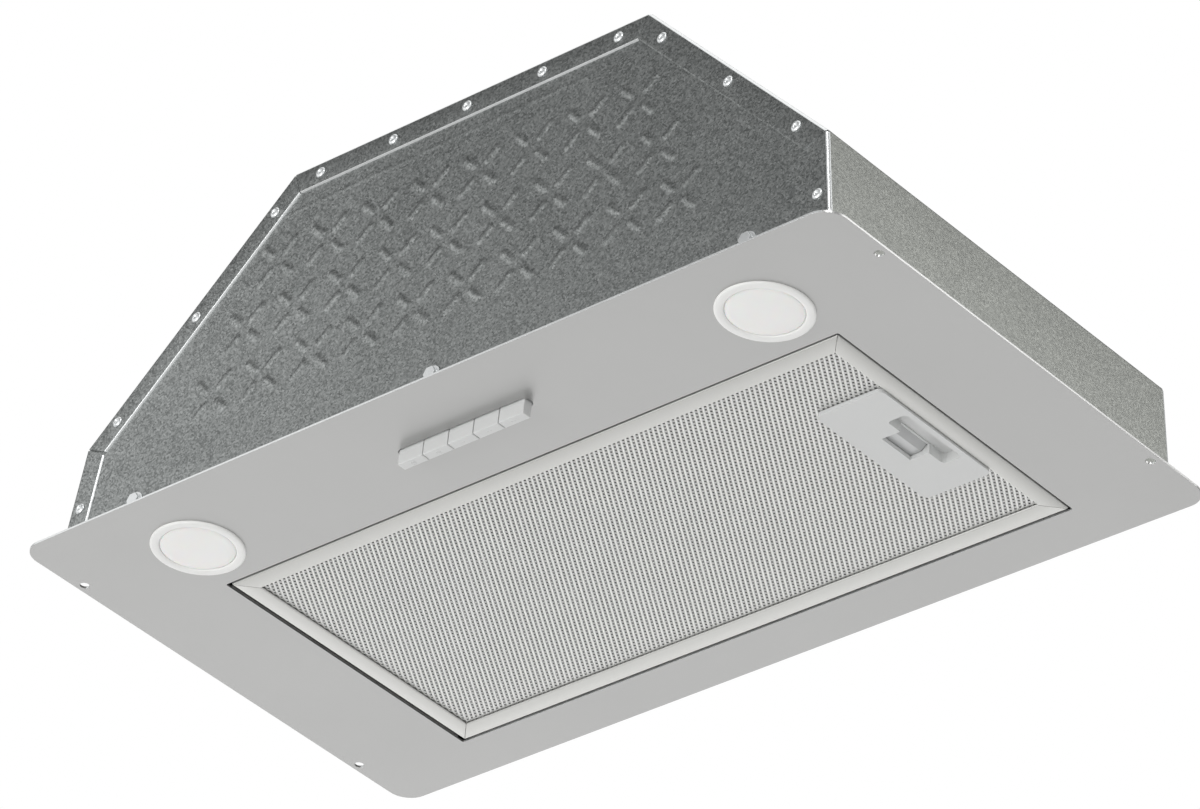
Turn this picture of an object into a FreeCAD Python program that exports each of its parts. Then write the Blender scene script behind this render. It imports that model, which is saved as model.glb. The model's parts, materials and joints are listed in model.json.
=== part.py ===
"""Built-in range hood insert: a canopy block that is screwed up into the underside of a cabinet.

Frame: millimetres, +X to the filter's handle, -Y to the row of buttons, +Z up into the cabinet.
The origin is the middle of the four fixing holes, on the upper side of the face plate.
"""
import FreeCAD, Part
import math
import os

V = FreeCAD.Vector
X, Y, Z = V(1, 0, 0), V(0, 1, 0), V(0, 0, 1)

# ---- Face plate ----
PLATE_LENGTH = 525.0
PLATE_DEPTH = 284.0
PLATE_GAUGE = 1.2
PLATE_CORNER = 12.0
FIXING_SPACING_X = 515.0
FIXING_SPACING_Y = 202.0
FIXING_HOLE_R = 2.5
OPENING_X = (-196.0, 201.0)
OPENING_Y = (-62.5, 113.5)
LIP_HEIGHT = 8.0
LIP_RELIEF = 4.0

# ---- Sheet metal body ----
SHEET = 1.0
FOOT_HALF_WIDTH = 250.0
SHOULDER_HALF_WIDTH = 242.0
TOP_HALF_WIDTH = 118.0
SHOULDER_HEIGHT = 60.0
BODY_HEIGHT = 181.0
BODY_HALF_DEPTH = 127.0
FLANGE = 14.0
FLANGE_NOTCH = 1.5
FOOT_DEPTH = 10.0
RIVET_STATIONS = ((0.42,), (0.11, 0.5, 0.89), (0.07, 0.285, 0.5, 0.715, 0.93), (0.11, 0.5, 0.89), (0.58,))
RIVET_R = 1.6
FOOT_SCREW_X = (-200.0, 0.0, 198.0)
FOOT_SCREW_HEIGHT = 14.5
FOOT_SCREW_R = 1.9
CLEARANCE = 0.05

# ---- Pressed cross marks of the front panel ----
CROSS_ROWS = ((61.0, 10), (95.5, 9), (130.0, 8))
CROSS_PITCH = 34.0
CROSS_MIDDLE_X = -3.0
CROSS_ARM = (4.5, 16.5)
CROSS_WIDTH = 3.8
CROSS_HEIGHT = 0.8

# ---- Lamps ----
LAMP_X = 184.0
LAMP_Y = -95.0
LAMP_RING_R = 24.0
LAMP_WINDOW_R = 19.3
LAMP_HOLE_R = 22.0
LAMP_RING_DEPTH = 2.2
SLEEVE_TOP = 9.0

# ---- Push buttons ----
SLOT_Y = -100.0
SLOT_LENGTH = 85.0
SLOT_WIDTH = 7.4
BUTTON_NAMES = ("light_button", "stop_button", "low_speed_button", "medium_speed_button", "high_speed_button")
BUTTON_PITCH = 16.4
BUTTON_WIDTH = 15.9
BUTTON_DEPTH = 5.4
BUTTON_DROP = 8.0
BUTTON_TRAVEL = 3.5
STEM = 5.0
PARTITION_Z = 12.0

# ---- Filter cartridge ----
FILTER_X = (-193.5, 199.5)
FILTER_Y = (-61.0, 112.0)
FILTER_Z = (-1.2, 8.3)
RAIL = 10.5
RAIL_GAUGE = 1.2
HANDLE_X = (148.0, 188.7)
HANDLE_Y = (-16.0, 67.0)
HANDLE_FACE_Z = -2.2
POCKET_X = (174.4, 185.6)
POCKET_Y = (6.0, 48.0)
POCKET_TOP = 3.6
POCKET_WALL = 0.8
LATCH_Y = 26.2
LATCH_APERTURE_X = 163.1
LATCH_APERTURE_HALF = 10.7
TONGUE_Z = (4.7, 6.2)
TONGUE_HALF = 6.0
MESH_COLUMNS = 25
MESH_ROWS = 9

# ---- Blower ----
FAN_Y = -36.0
FAN_Z = 111.0
FAN_R = 56.0
FAN_INNER_R = 44.0
FAN_HALF_WIDTH = 45.0
BLADES = 36
RING_WIDTH = 2.0
SCROLL_HALF_WIDTH = 50.0
SCROLL_WALL = 2.0
SCROLL_R = (62.0, 88.0)
TONGUE_ANGLE = 70.0
INLET_R = 46.0
MOTOR_R = 35.0
MOTOR_X = (8.0, 58.0)
SHAFT_R = 4.0

# ---- Air outlet ----
OUTLET_Y = 19.0
COLLAR_R = 59.75
COLLAR_GAUGE = 1.5
COLLAR_HEIGHT = 40.0
DAMPER_PIN_R = 1.5
DAMPER_Z = 192.0


def box(xs, ys, zs):
    """A block between pairs of limits along the three axes."""
    size = [high - low for low, high in (xs, ys, zs)]
    return Part.makeBox(size[0], size[1], size[2], V(xs[0], ys[0], zs[0]))


def rod(radius, start, end):
    """A round bar from one point to another."""
    return Part.makeCylinder(radius, (end - start).Length, start, end - start)


def tube(outer, inner, start, end):
    """A round tube from one point to another."""
    return rod(outer, start, end).cut(rod(inner, start, end))


def around(middle, half):
    """The limits that lie half on each side of a middle value."""
    return (middle - half, middle + half)


def polygon(points):
    """A flat face with straight sides."""
    return Part.Face(Part.makePolygon(list(points) + [points[0]]))


def rounded_rectangle(xs, ys, z, radius):
    """A level face with four round corners."""
    (x0, x1), (y0, y1) = xs, ys
    corners = ((x1, y1, 1, 1), (x0, y1, -1, 1), (x0, y0, -1, -1), (x1, y0, 1, -1))
    arcs = []
    for x, y, sx, sy in corners:
        middle = V(x - sx * radius, y - sy * radius, z)
        start, end = V(sx * radius, 0, 0), V(0, sy * radius, 0)
        if sx * sy < 0:
            start, end = end, start
        bulge = V(sx, sy, 0) * (radius * math.sqrt(0.5))
        arcs.append(Part.Arc(middle + start, middle + bulge, middle + end).toShape())
    edges = []
    for arc, following in zip(arcs, arcs[1:] + arcs[:1]):
        edges.append(arc)
        run = following.Vertexes[0].Point - arc.Vertexes[-1].Point
        if run.Length > 1e-6:
            edges.append(Part.makeLine(arc.Vertexes[-1].Point, following.Vertexes[0].Point))
    return Part.Face(Part.Wire(edges))


def pad(xs, ys, zs, radius):
    """A block with four round upright corners."""
    return rounded_rectangle(xs, ys, zs[0], radius).extrude(Z * (zs[1] - zs[0]))


def mirrored(shape):
    """The same shape on the other side of the middle plane X = 0."""
    return shape.mirror(V(0, 0, 0), X)


def crossing(first, second):
    """Where two lines (x, z, dx, dz) meet."""
    x0, z0, dx0, dz0 = first
    x1, z1, dx1, dz1 = second
    step = ((x1 - x0) * dz1 - (z1 - z0) * dx1) / (dx0 * dz1 - dz0 * dx1)
    return (x0 + step * dx0, z0 + step * dz0)


def body_corners(inset):
    """Corners (x, z) of the body's outline, from the left foot over the top to the right foot."""
    left = [(-FOOT_HALF_WIDTH, 0.0), (-SHOULDER_HALF_WIDTH, SHOULDER_HEIGHT), (-TOP_HALF_WIDTH, BODY_HEIGHT)]
    outline = left + [(-x, z) for x, z in reversed(left)]
    lines = [(0.0, 0.0, 1.0, 0.0)]
    for (x0, z0), (x1, z1) in zip(outline, outline[1:]):
        length = math.hypot(x1 - x0, z1 - z0)
        dx, dz = (x1 - x0) / length, (z1 - z0) / length
        lines.append((x0 + inset * dz, z0 - inset * dx, dx, dz))
    lines.append(lines[0])
    return [crossing(a, b) for a, b in zip(lines, lines[1:])]


def upright_face(corners, y):
    """A face across the depth of the body, from its corners (x, z)."""
    return polygon([V(x, y, z) for x, z in corners])


def rivet_spots():
    """Centres (x, z) of the rivets, along the middle of the flanges."""
    middle = body_corners(FLANGE / 2)
    spots = []
    for (x0, z0), (x1, z1), stations in zip(middle, middle[1:], RIVET_STATIONS):
        spots += [(x0 + (x1 - x0) * s, z0 + (z1 - z0) * s) for s in stations]
    return spots


def across_holes(spots, radius, side):
    """Round cutters through the front (side -1) or the rear (side 1) of the body."""
    outside, inside = side * (BODY_HALF_DEPTH + 1), side * (BODY_HALF_DEPTH - 6)
    return [rod(radius, V(x, outside, z), V(x, inside, z)) for x, z in spots]


def foot_screw_spots():
    return [(x, FOOT_SCREW_HEIGHT) for x in FOOT_SCREW_X]


def latch_window():
    """The limits in height of the two windows that the latch passes through."""
    return (TONGUE_Z[0] - 0.3, TONGUE_Z[1] + 0.3)


# ---- Face plate ----
def opening_lips():
    """The four edges of the filter opening, turned up, and short of the corners."""
    (x0, x1), (y0, y1) = OPENING_X, OPENING_Y
    along_x = (x0 + LIP_RELIEF, x1 - LIP_RELIEF)
    along_y = (y0 + LIP_RELIEF, y1 - LIP_RELIEF)
    height = (0, LIP_HEIGHT)
    right = box((x1, x1 + SHEET), along_y, height)
    right = right.cut(box((x1 - 1, x1 + 2), around(LATCH_Y, TONGUE_HALF + 0.6), latch_window()))
    return [
        box(along_x, (y0 - SHEET, y0), height),
        box(along_x, (y1, y1 + SHEET), height),
        box((x0 - SHEET, x0), along_y, height),
        right,
    ]


def foot_tabs():
    """Tabs of the plate that stand behind the front and rear panels and take their foot screws."""
    tabs = []
    for side in (-1, 1):
        outer = side * (BODY_HALF_DEPTH - 2 * SHEET)
        ys = sorted((outer, outer - side * SHEET))
        for x in FOOT_SCREW_X:
            tab = box(around(x, 7), ys, (0, FOOT_SCREW_HEIGHT + 8))
            tabs.append(tab.cut(across_holes([(x, FOOT_SCREW_HEIGHT)], FOOT_SCREW_R + CLEARANCE, side)))
    return tabs


def plate_upturns():
    """The lips of the filter opening and the tabs for the foot screws, folded up from the plate."""
    return Part.makeCompound(opening_lips() + foot_tabs())


def face_plate():
    half_x, half_y = PLATE_LENGTH / 2, PLATE_DEPTH / 2
    plate = pad(around(0, half_x), around(0, half_y), (-PLATE_GAUGE, 0), PLATE_CORNER)
    through = (-PLATE_GAUGE - 1, 1)
    cutters = [
        pad(OPENING_X, OPENING_Y, through, 1.0),
        pad(around(0, SLOT_LENGTH / 2), around(SLOT_Y, SLOT_WIDTH / 2), through, SLOT_WIDTH / 2 - 0.01),
    ]
    for sx in (-1, 1):
        lamp = V(sx * LAMP_X, LAMP_Y, through[0])
        cutters.append(rod(LAMP_HOLE_R, lamp, lamp + Z * 3))
        for sy in (-1, 1):
            hole = V(sx * FIXING_SPACING_X / 2, sy * FIXING_SPACING_Y / 2, through[0])
            cutters.append(rod(FIXING_HOLE_R, hole, hole + Z * 3))
    return plate.cut(cutters).removeSplitter()


# ---- Body sheets ----
def wrapper_flanges(side):
    """Flanges folded over one panel, with a V notch at each bend."""
    outer, inner = body_corners(0), body_corners(FLANGE)
    y = side * BODY_HALF_DEPTH
    flanges = []
    for i in range(len(outer) - 1):
        (x0, z0), (x1, z1) = inner[i], inner[i + 1]
        length = math.hypot(x1 - x0, z1 - z0)
        dx, dz = (x1 - x0) / length * FLANGE_NOTCH, (z1 - z0) / length * FLANGE_NOTCH
        start = (x0, z0) if i == 0 else (x0 + dx, z0 + dz)
        end = (x1, z1) if i == len(outer) - 2 else (x1 - dx, z1 - dz)
        face = upright_face([outer[i], outer[i + 1], end, start], y)
        flanges.append(face.extrude(Y * (-side * SHEET)))
    return flanges


def wrapper_shell():
    """One long sheet: left wall, left shoulder, top, right shoulder, right wall."""
    band = upright_face(body_corners(0) + body_corners(SHEET)[::-1], -BODY_HALF_DEPTH)
    shell = band.extrude(Y * (2 * BODY_HALF_DEPTH))
    depth = around(0, BODY_HALF_DEPTH - 3 * SHEET)
    foot = box((-FOOT_HALF_WIDTH + SHEET / 2, -FOOT_HALF_WIDTH + FOOT_DEPTH), depth, (0, SHEET))
    shell = shell.fuse(wrapper_flanges(-1) + wrapper_flanges(1) + [foot, mirrored(foot)])
    duct = V(0, OUTLET_Y, BODY_HEIGHT - 3)
    cutters = [rod(57.0, duct, duct + Z * 6)]
    for side in (-1, 1):
        cutters += across_holes(rivet_spots(), RIVET_R + CLEARANCE, side)
    for x, y in outlet_screw_spots():
        cutters.append(rod(2.0 + CLEARANCE, V(x, y, BODY_HEIGHT - 3), V(x, y, BODY_HEIGHT + 3)))
    return shell.cut(cutters).removeSplitter()


def end_panel(side):
    """A flat end of the body, inside the flanges, with an inward foot that leaves room for the tabs."""
    outer = side * (BODY_HALF_DEPTH - SHEET)
    inner = outer - side * SHEET
    panel = upright_face(body_corners(SHEET), outer).extrude(Y * (inner - outer))
    half = FOOT_HALF_WIDTH - FOOT_DEPTH - 2
    foot = box(around(0, half), sorted((inner, inner - side * 7)), (0, SHEET))
    foot = foot.cut([box(around(x, 9), sorted((inner, inner - side * 8)), (-1, 3)) for x in FOOT_SCREW_X])
    holes = across_holes(rivet_spots(), RIVET_R + CLEARANCE, side)
    holes += across_holes(foot_screw_spots(), FOOT_SCREW_R + CLEARANCE, side)
    return panel, foot, holes


def cross_marks():
    """Pressed crosses in staggered rows, each of four round-ended arms that stop short of the middle."""
    surface = -(BODY_HALF_DEPTH - SHEET)
    bar = pad(CROSS_ARM, around(0, CROSS_WIDTH / 2), (-0.2, CROSS_HEIGHT), CROSS_WIDTH / 2 - 0.01)
    bar.rotate(V(0, 0, 0), X, 90)
    marks = []
    for height, count in CROSS_ROWS:
        for i in range(count):
            x = CROSS_MIDDLE_X + (i - (count - 1) / 2) * CROSS_PITCH
            for turn in (45, 135, 225, 315):
                arm = bar.copy()
                arm.rotate(V(0, 0, 0), Y, turn)
                arm.translate(V(x, surface, height))
                marks.append(arm)
    return marks


def front_panel():
    panel, foot, holes = end_panel(-1)
    return panel.fuse([foot] + cross_marks()).cut(holes).removeSplitter()


def rear_panel():
    panel, foot, holes = end_panel(1)
    gland = V(GLAND_X, BODY_HALF_DEPTH - 8, GLAND_Z)
    holes.append(rod(8.0, gland, gland + Y * 12))
    return panel.fuse(foot).cut(holes).removeSplitter()


def rivets(side):
    """Domed pop rivets through a flange and the panel behind it."""
    outer = side * BODY_HALF_DEPTH
    pieces = []
    for x, z in rivet_spots():
        shank = rod(RIVET_R, V(x, outer, z), V(x, outer - side * 3.2, z))
        head = Part.makeCone(3.0, 1.8, 1.1, V(x, outer, z), V(0, side, 0))
        tail = rod(2.3, V(x, outer - side * 2, z), V(x, outer - side * 3.6, z))
        pieces.append(shank.fuse([head, tail]).removeSplitter())
    return Part.makeCompound(pieces)


def hexagon(radius, base, direction, height):
    """A six-sided bar along a direction."""
    side = V(1, 0, 0) if abs(direction.x) < 0.5 else V(0, 0, 1)
    points = []
    for i in range(6):
        spoke = FreeCAD.Rotation(direction, 60 * i).multVec(side)
        points.append(base + spoke * radius)
    return polygon(points).extrude(direction * height)


def foot_screws():
    """Washer-head screws that hold the front and rear panels to the tabs of the plate."""
    pieces = []
    for side in (-1, 1):
        out = V(0, side, 0)
        for x in FOOT_SCREW_X:
            seat = V(x, side * (BODY_HALF_DEPTH - SHEET), FOOT_SCREW_HEIGHT)
            washer = rod(5.0, seat, seat + out * 0.8)
            shank = rod(FOOT_SCREW_R, seat - out * 7, seat)
            head = hexagon(3.9, seat + out * 0.6, out, 2.2)
            pieces.append(washer.fuse([shank, head]).removeSplitter())
    return Part.makeCompound(pieces)


# ---- Lamps ----
def both_sides(make):
    """The left and the right one of a pair, as separate solids."""
    return Part.makeCompound([make(-1), make(1)])


def lamp_ring(side):
    """A bezel under the plate with a sleeve up through the lamp hole."""
    at = V(side * LAMP_X, LAMP_Y, -PLATE_GAUGE)
    flat = Part.makeCone(LAMP_RING_R - 1.4, LAMP_RING_R, 1.4, at - Z * LAMP_RING_DEPTH, Z)
    rim = rod(LAMP_RING_R, at - Z * (LAMP_RING_DEPTH - 1.4), at)
    sleeve = rod(LAMP_HOLE_R - 0.2, at, V(at.x, at.y, SLEEVE_TOP))
    window = Part.makeCone(LAMP_WINDOW_R + 0.7, LAMP_WINDOW_R, 0.9, at - Z * LAMP_RING_DEPTH, Z)
    bore = rod(LAMP_WINDOW_R, at - Z * 2, at + Z)
    seat = rod(LAMP_HOLE_R - 1.7, at + Z * 0.1, V(at.x, at.y, SLEEVE_TOP + 1))
    return flat.fuse([rim, sleeve]).cut([window, bore, seat]).removeSplitter()


def lamp_lens(side):
    """A shallow frosted dish that sits on the ledge of the ring."""
    at = V(side * LAMP_X, LAMP_Y, -PLATE_GAUGE + 0.1)
    disc = rod(LAMP_HOLE_R - 1.9, at, at + Z * 1.4)
    dome = Part.makeCone(LAMP_WINDOW_R - 1.2, LAMP_WINDOW_R - 0.2, 0.7, at - Z * 0.7, Z)
    return disc.fuse(dome).removeSplitter()


def lamp_board(side):
    """A round circuit board with one light source in the middle and six round it."""
    at = V(side * LAMP_X, LAMP_Y, SLEEVE_TOP - 1.2)
    board = rod(LAMP_HOLE_R - 2.0, at, at + Z * 1.2)
    chips = [box(around(at.x, 1.8), around(at.y, 1.8), (at.z - 0.7, at.z + 0.2))]
    for i in range(6):
        angle = math.radians(60 * i)
        x, y = at.x + 12 * math.cos(angle), at.y + 12 * math.sin(angle)
        chips.append(box(around(x, 1.5), around(y, 1.5), (at.z - 0.7, at.z + 0.2)))
    return board.fuse(chips).removeSplitter()


def lamp_heat_sink(side):
    """A round base on the sleeve with upright fins."""
    at = V(side * LAMP_X, LAMP_Y, SLEEVE_TOP)
    base = rod(LAMP_HOLE_R, at, at + Z * 2.5)
    envelope = rod(LAMP_HOLE_R - 1, at + Z * 2, at + Z * 16)
    fins = [box(around(at.x + 7 * i, 0.8), around(at.y, 22), (at.z + 2, at.z + 16)) for i in range(-2, 3)]
    return base.fuse([fin.common(envelope) for fin in fins]).removeSplitter()


def lamp_clip(side, way):
    """A leaf that springs out from the sleeve and presses on the upper side of the plate."""
    start = side * LAMP_X + way * (LAMP_HOLE_R - 0.2)
    steps = ((0.0, 8.3), (0.8, 8.3), (9.0, 0.0), (11.5, 1.8), (11.1, 2.3), (9.0, 0.8), (1.1, 8.9), (0.0, 8.9))
    points = [V(start + way * out, LAMP_Y - 4, up) for out, up in steps]
    return polygon(points).extrude(Y * 8)


def lamp_clips():
    return Part.makeCompound([lamp_clip(side, way) for side in (-1, 1) for way in (-1, 1)])


# ---- Push buttons ----
def button_x(index):
    return (index - 2) * BUTTON_PITCH


def button(index):
    """A key below the plate, a shoulder that stops on the plate, and a stem up to its switch."""
    x = button_x(index)
    bottom = -PLATE_GAUGE - BUTTON_DROP
    key = box(around(x, BUTTON_WIDTH / 2), around(SLOT_Y, BUTTON_DEPTH / 2), (bottom, 0.5))
    lower = [edge for edge in key.Edges if abs(edge.BoundBox.ZMax - bottom) < 1e-6]
    key = key.makeFillet(0.5, lower)
    shoulder = box(around(x, BUTTON_WIDTH / 2), around(SLOT_Y, 4.6), (0.3, 2.3))
    stem = box(around(x, STEM / 2), around(SLOT_Y, STEM / 2), (2.2, 15.1))
    return key.fuse([shoulder, stem]).removeSplitter()


def switch_housing():
    """A box over the slot, open below, with a partition that guides the stems."""
    outside = pad(around(0, 48), around(SLOT_Y, 11), (0, 28), 2.0)
    lower = box(around(0, 46), around(SLOT_Y, 9), (-1, PARTITION_Z))
    upper = box(around(0, 46), around(SLOT_Y, 9), (PARTITION_Z + 1.5, 26))
    guides = []
    for i in range(len(BUTTON_NAMES)):
        half = STEM / 2 + 0.3
        guides.append(box(around(button_x(i), half), around(SLOT_Y, half), (PARTITION_Z - 1, PARTITION_Z + 3)))
    return outside.cut([lower, upper] + guides).removeSplitter()


def switch_board():
    """A circuit board under the lid of the housing with one small switch over each stem."""
    board = box(around(0, 45.5), around(SLOT_Y, 8.5), (24.4, 26))
    for i in range(len(BUTTON_NAMES)):
        board = board.fuse(box(around(button_x(i), 4), around(SLOT_Y, 4), (19.2, 24.6)))
    return board.removeSplitter()


def coil_spring(radius, wire, height, turns):
    """A helical spring along +Z: tangent arcs, two for each quarter turn, swept in one pass."""
    quarters = turns * 4
    rise = height / quarters
    slope = rise / (radius * math.pi / 2)
    edges = []
    for i in range(quarters):
        ends = []
        for k in (i, i + 1):
            angle = k * math.pi / 2
            spot = V(radius * math.cos(angle), radius * math.sin(angle), k * rise)
            way = V(-math.sin(angle), math.cos(angle), slope).normalize()
            ends.append((spot, way))
        edges += biarc(ends[0][0], ends[0][1], ends[1][0], ends[1][1])
    path = Part.Wire(edges)
    section = Part.Wire(Part.makeCircle(wire / 2, V(radius, 0, 0), V(0, 1, slope)))
    return path.makePipeShell([section], True, False)


def biarc(start, start_way, end, end_way):
    """Two arcs, tangent to each other and to the directions at both ends."""
    run, both = end - start, start_way + end_way
    a, b, c = both.dot(both) - 4, -2 * run.dot(both), run.dot(run)
    reach = (-b - math.sqrt(b * b - 4 * a * c)) / (2 * a)
    first, second = start + start_way * reach, end - end_way * reach
    joint = (first + second) * 0.5
    return [tangent_arc(start, first, joint), tangent_arc(joint, second, end)]


def tangent_arc(start, corner, end):
    """The arc from start to end that is tangent there to the lines through the corner."""
    middle = (start + end) * 0.5
    half, rise = (end - start).Length / 2, (corner - middle).Length
    bulge = (corner - middle) * (half * math.tan(math.atan2(rise, half) / 2) / rise)
    return Part.Arc(start, middle + bulge, end).toShape()


def button_spring(index):
    spring = coil_spring(4.1, 0.6, PARTITION_Z - 2.3 - 0.8, 5)
    spring.translate(V(button_x(index), SLOT_Y, 2.3 + 0.4))
    return spring


# ---- Filter cartridge ----
def filter_frame():
    """A channel bent round four sides, with mitre grooves at the corners and a window for the latch."""
    (x0, x1), (y0, y1), (z0, z1) = FILTER_X, FILTER_Y, FILTER_Z
    frame = pad(FILTER_X, FILTER_Y, FILTER_Z, 0.8)
    inside = box((x0 + RAIL_GAUGE, x1 - RAIL_GAUGE), (y0 + RAIL_GAUGE, y1 - RAIL_GAUGE), (0, z1 - RAIL_GAUGE))
    below = box((x0 + RAIL, x1 - RAIL), (y0 + RAIL, y1 - RAIL), (z0 - 1, 1))
    above = box((x0 + 8, x1 - 8), (y0 + 8, y1 - 8), (z1 - 2, z1 + 1))
    window = box((x1 - 2, x1 + 1), around(LATCH_Y, TONGUE_HALF + 0.4), latch_window())
    cutters = [inside, below, above, window]
    for x, sx in ((x0, 1), (x1, -1)):
        for y, sy in ((y0, 1), (y1, -1)):
            groove = box((-1, RAIL * math.sqrt(2) + 1), around(0, 0.25), (z0 - 1, z0 + 0.5))
            groove.rotate(V(0, 0, 0), Z, math.degrees(math.atan2(sy, sx)))
            groove.translate(V(x, y, 0))
            cutters.append(groove)
    return frame.cut(cutters).removeSplitter()


def mechanism_room(low, high):
    """The space in the filter's layers that the handle and its latch take up."""
    return box((149.5, FILTER_X[1]), (4.0, 50.0), (low, high))


def filter_layer(low, high):
    (x0, x1), (y0, y1) = FILTER_X, FILTER_Y
    gap = RAIL_GAUGE + 0.3
    return box((x0 + gap, x1 - gap), (y0 + gap, y1 - gap), (low, high))


def filter_front_mesh():
    """Expanded sheet with staggered diamond holes, at a coarse pitch."""
    low, high = 0.0, 1.0
    (x0, x1), (y0, y1) = FILTER_X, FILTER_Y
    pitch_x = (x1 - x0 - 2 * RAIL) / MESH_COLUMNS
    pitch_y = (y1 - y0 - 2 * RAIL) / MESH_ROWS
    diamonds = []
    for row in range(MESH_ROWS):
        for column in range(MESH_COLUMNS - row % 2):
            x = x0 + RAIL + (column + 0.5 + 0.5 * (row % 2)) * pitch_x
            y = y0 + RAIL + (row + 0.5) * pitch_y
            if x > 138 and -24 < y < 75:
                continue
            points = [V(x - 0.4 * pitch_x, y, low), V(x, y - 0.4 * pitch_y, low)]
            points += [V(x + 0.4 * pitch_x, y, low), V(x, y + 0.4 * pitch_y, low)]
            diamonds.append(Part.makePolygon(points + [points[0]]))
    gap = RAIL_GAUGE + 0.3
    corners = [V(x0 + gap, y0 + gap, low), V(x1 - gap, y0 + gap, low)]
    corners += [V(x1 - gap, y1 - gap, low), V(x0 + gap, y1 - gap, low)]
    outline = Part.makePolygon(corners + [corners[0]])
    sheet = Part.makeFace([outline] + diamonds, "Part::FaceMakerBullseye")
    return sheet.extrude(Z * (high - low)).cut(mechanism_room(low - 1, high + 1))


def filter_foil_layers():
    """Three folded foils, one above the other, that the grease settles on."""
    (x0, x1), (y0, y1) = FILTER_X, FILTER_Y
    folds = 48
    step = (x1 - x0 - 2 * RAIL) / folds
    layers = []
    for level in (1.3, 3.0, 4.7):
        lower = [V(x0 + RAIL + i * step, y0 + 2, level + (i % 2) * 0.9) for i in range(folds + 1)]
        upper = [point + Z * 0.3 for point in reversed(lower)]
        foil = polygon(lower + upper).extrude(Y * (y1 - y0 - 4))
        layers.append(foil.cut(mechanism_room(0, 7)))
    return Part.makeCompound(layers)


def filter_back_mesh():
    return filter_layer(6.6, 7.0)


def filter_end_tabs():
    """Two tabs on the end away from the handle that rest on the lip of the plate."""
    top = FILTER_Z[1]
    tabs = [box((FILTER_X[0] - 6, FILTER_X[0] + 6), around(y, 7), (top, top + 1.2)) for y in (-15, 66)]
    return Part.makeCompound(tabs)


def filter_handle():
    """A flat plate under the mesh with a finger pocket, an aperture for the latch, and guides for it."""
    plate = pad(HANDLE_X, HANDLE_Y, (HANDLE_FACE_Z, 0), 3.5)
    (x0, x1), (y0, y1) = POCKET_X, POCKET_Y
    cup_top = POCKET_TOP + POCKET_WALL
    cup = box((x0 - 1.2, x1 + 1.2), (y0 - 1.2, y1 + 1.2), (-0.2, cup_top))
    parts = [cup, box((150.5, 152.5), around(LATCH_Y, 4), (-0.2, 6.3))]
    for side in (-1, 1):
        beside_slide = sorted((LATCH_Y + side * (LATCH_APERTURE_HALF + 0.1), LATCH_Y + side * 12.3))
        beside_tongue = sorted((LATCH_Y + side * (TONGUE_HALF + 0.4), LATCH_Y + side * (TONGUE_HALF + 2.4)))
        parts.append(box((153.0, 173.5), beside_slide, (-0.2, 3.0)))
        parts.append(box((x0 + 1.0, x1 + 1.0), beside_tongue, (cup_top - 0.2, 6.4)))
    pocket = pad(POCKET_X, POCKET_Y, (HANDLE_FACE_Z - 1, POCKET_TOP), 2.0)
    aperture = box((LATCH_APERTURE_X, x0 + 2.2), around(LATCH_Y, LATCH_APERTURE_HALF), (HANDLE_FACE_Z - 1, 3.0))
    return plate.fuse(parts).cut([pocket, aperture]).removeSplitter()


def latch_slide():
    """A bent sheet behind the aperture, pulled by its sloped edge, with a tongue into the plate's lip."""
    low, high = TONGUE_Z
    profile = ((160.0, 0.3), (169.6, 0.3), (173.0, 3.3), (173.0, high), (171.5, high), (171.5, 4.0))
    profile += ((169.0, 1.8), (160.0, 1.8))
    half = LATCH_APERTURE_HALF - 0.3
    bent = polygon([V(x, LATCH_Y - half, z) for x, z in profile]).extrude(Y * (2 * half))
    tongue = box((164.8, 204.0), around(LATCH_Y, TONGUE_HALF), (low, high))
    web = box((164.8, 166.3), around(LATCH_Y, 4), (1.5, high))
    return bent.fuse([tongue, web]).removeSplitter()


def latch_spring():
    spring = coil_spring(1.5, 0.45, 11.4, 7)
    spring.rotate(V(0, 0, 0), Y, 90)
    spring.translate(V(152.9, LATCH_Y, 4.1))
    return spring


# ---- Blower ----
def scroll_radius(angle, grow):
    """The scroll's radius at an angle in degrees, which grows evenly round the fan."""
    start, end = SCROLL_R
    return start + (end - start) * (angle - TONGUE_ANGLE) / (360 - TONGUE_ANGLE) + grow


def scroll_point(angle, grow, x):
    radius, turn = scroll_radius(angle, grow), math.radians(angle)
    return V(x, FAN_Y + radius * math.cos(turn), FAN_Z + radius * math.sin(turn))


def scroll_solid(grow, x, top):
    """A spiral round the fan that runs out into a straight neck, from x to the middle plane."""
    arcs = 4
    step = (360 - TONGUE_ANGLE) / arcs
    edges = []
    for i in range(arcs):
        first = TONGUE_ANGLE + i * step
        three = [scroll_point(first + step * part, grow, x) for part in (0, 0.5, 1)]
        edges.append(Part.Arc(three[0], three[1], three[2]).toShape())
    tongue, end, eye = scroll_point(TONGUE_ANGLE, grow, x), scroll_point(360, grow, x), V(x, FAN_Y, FAN_Z)
    edges += [Part.makeLine(end, eye), Part.makeLine(eye, tongue)]
    spiral = Part.Face(Part.Wire(edges)).extrude(X * -x)
    front = scroll_point(TONGUE_ANGLE, 0, x).y - grow
    middle = rod(SCROLL_R[0] + grow, eye, V(0, FAN_Y, FAN_Z))
    return spiral.fuse([middle, box((x, 0), (front, end.y), (FAN_Z, top))])


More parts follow.
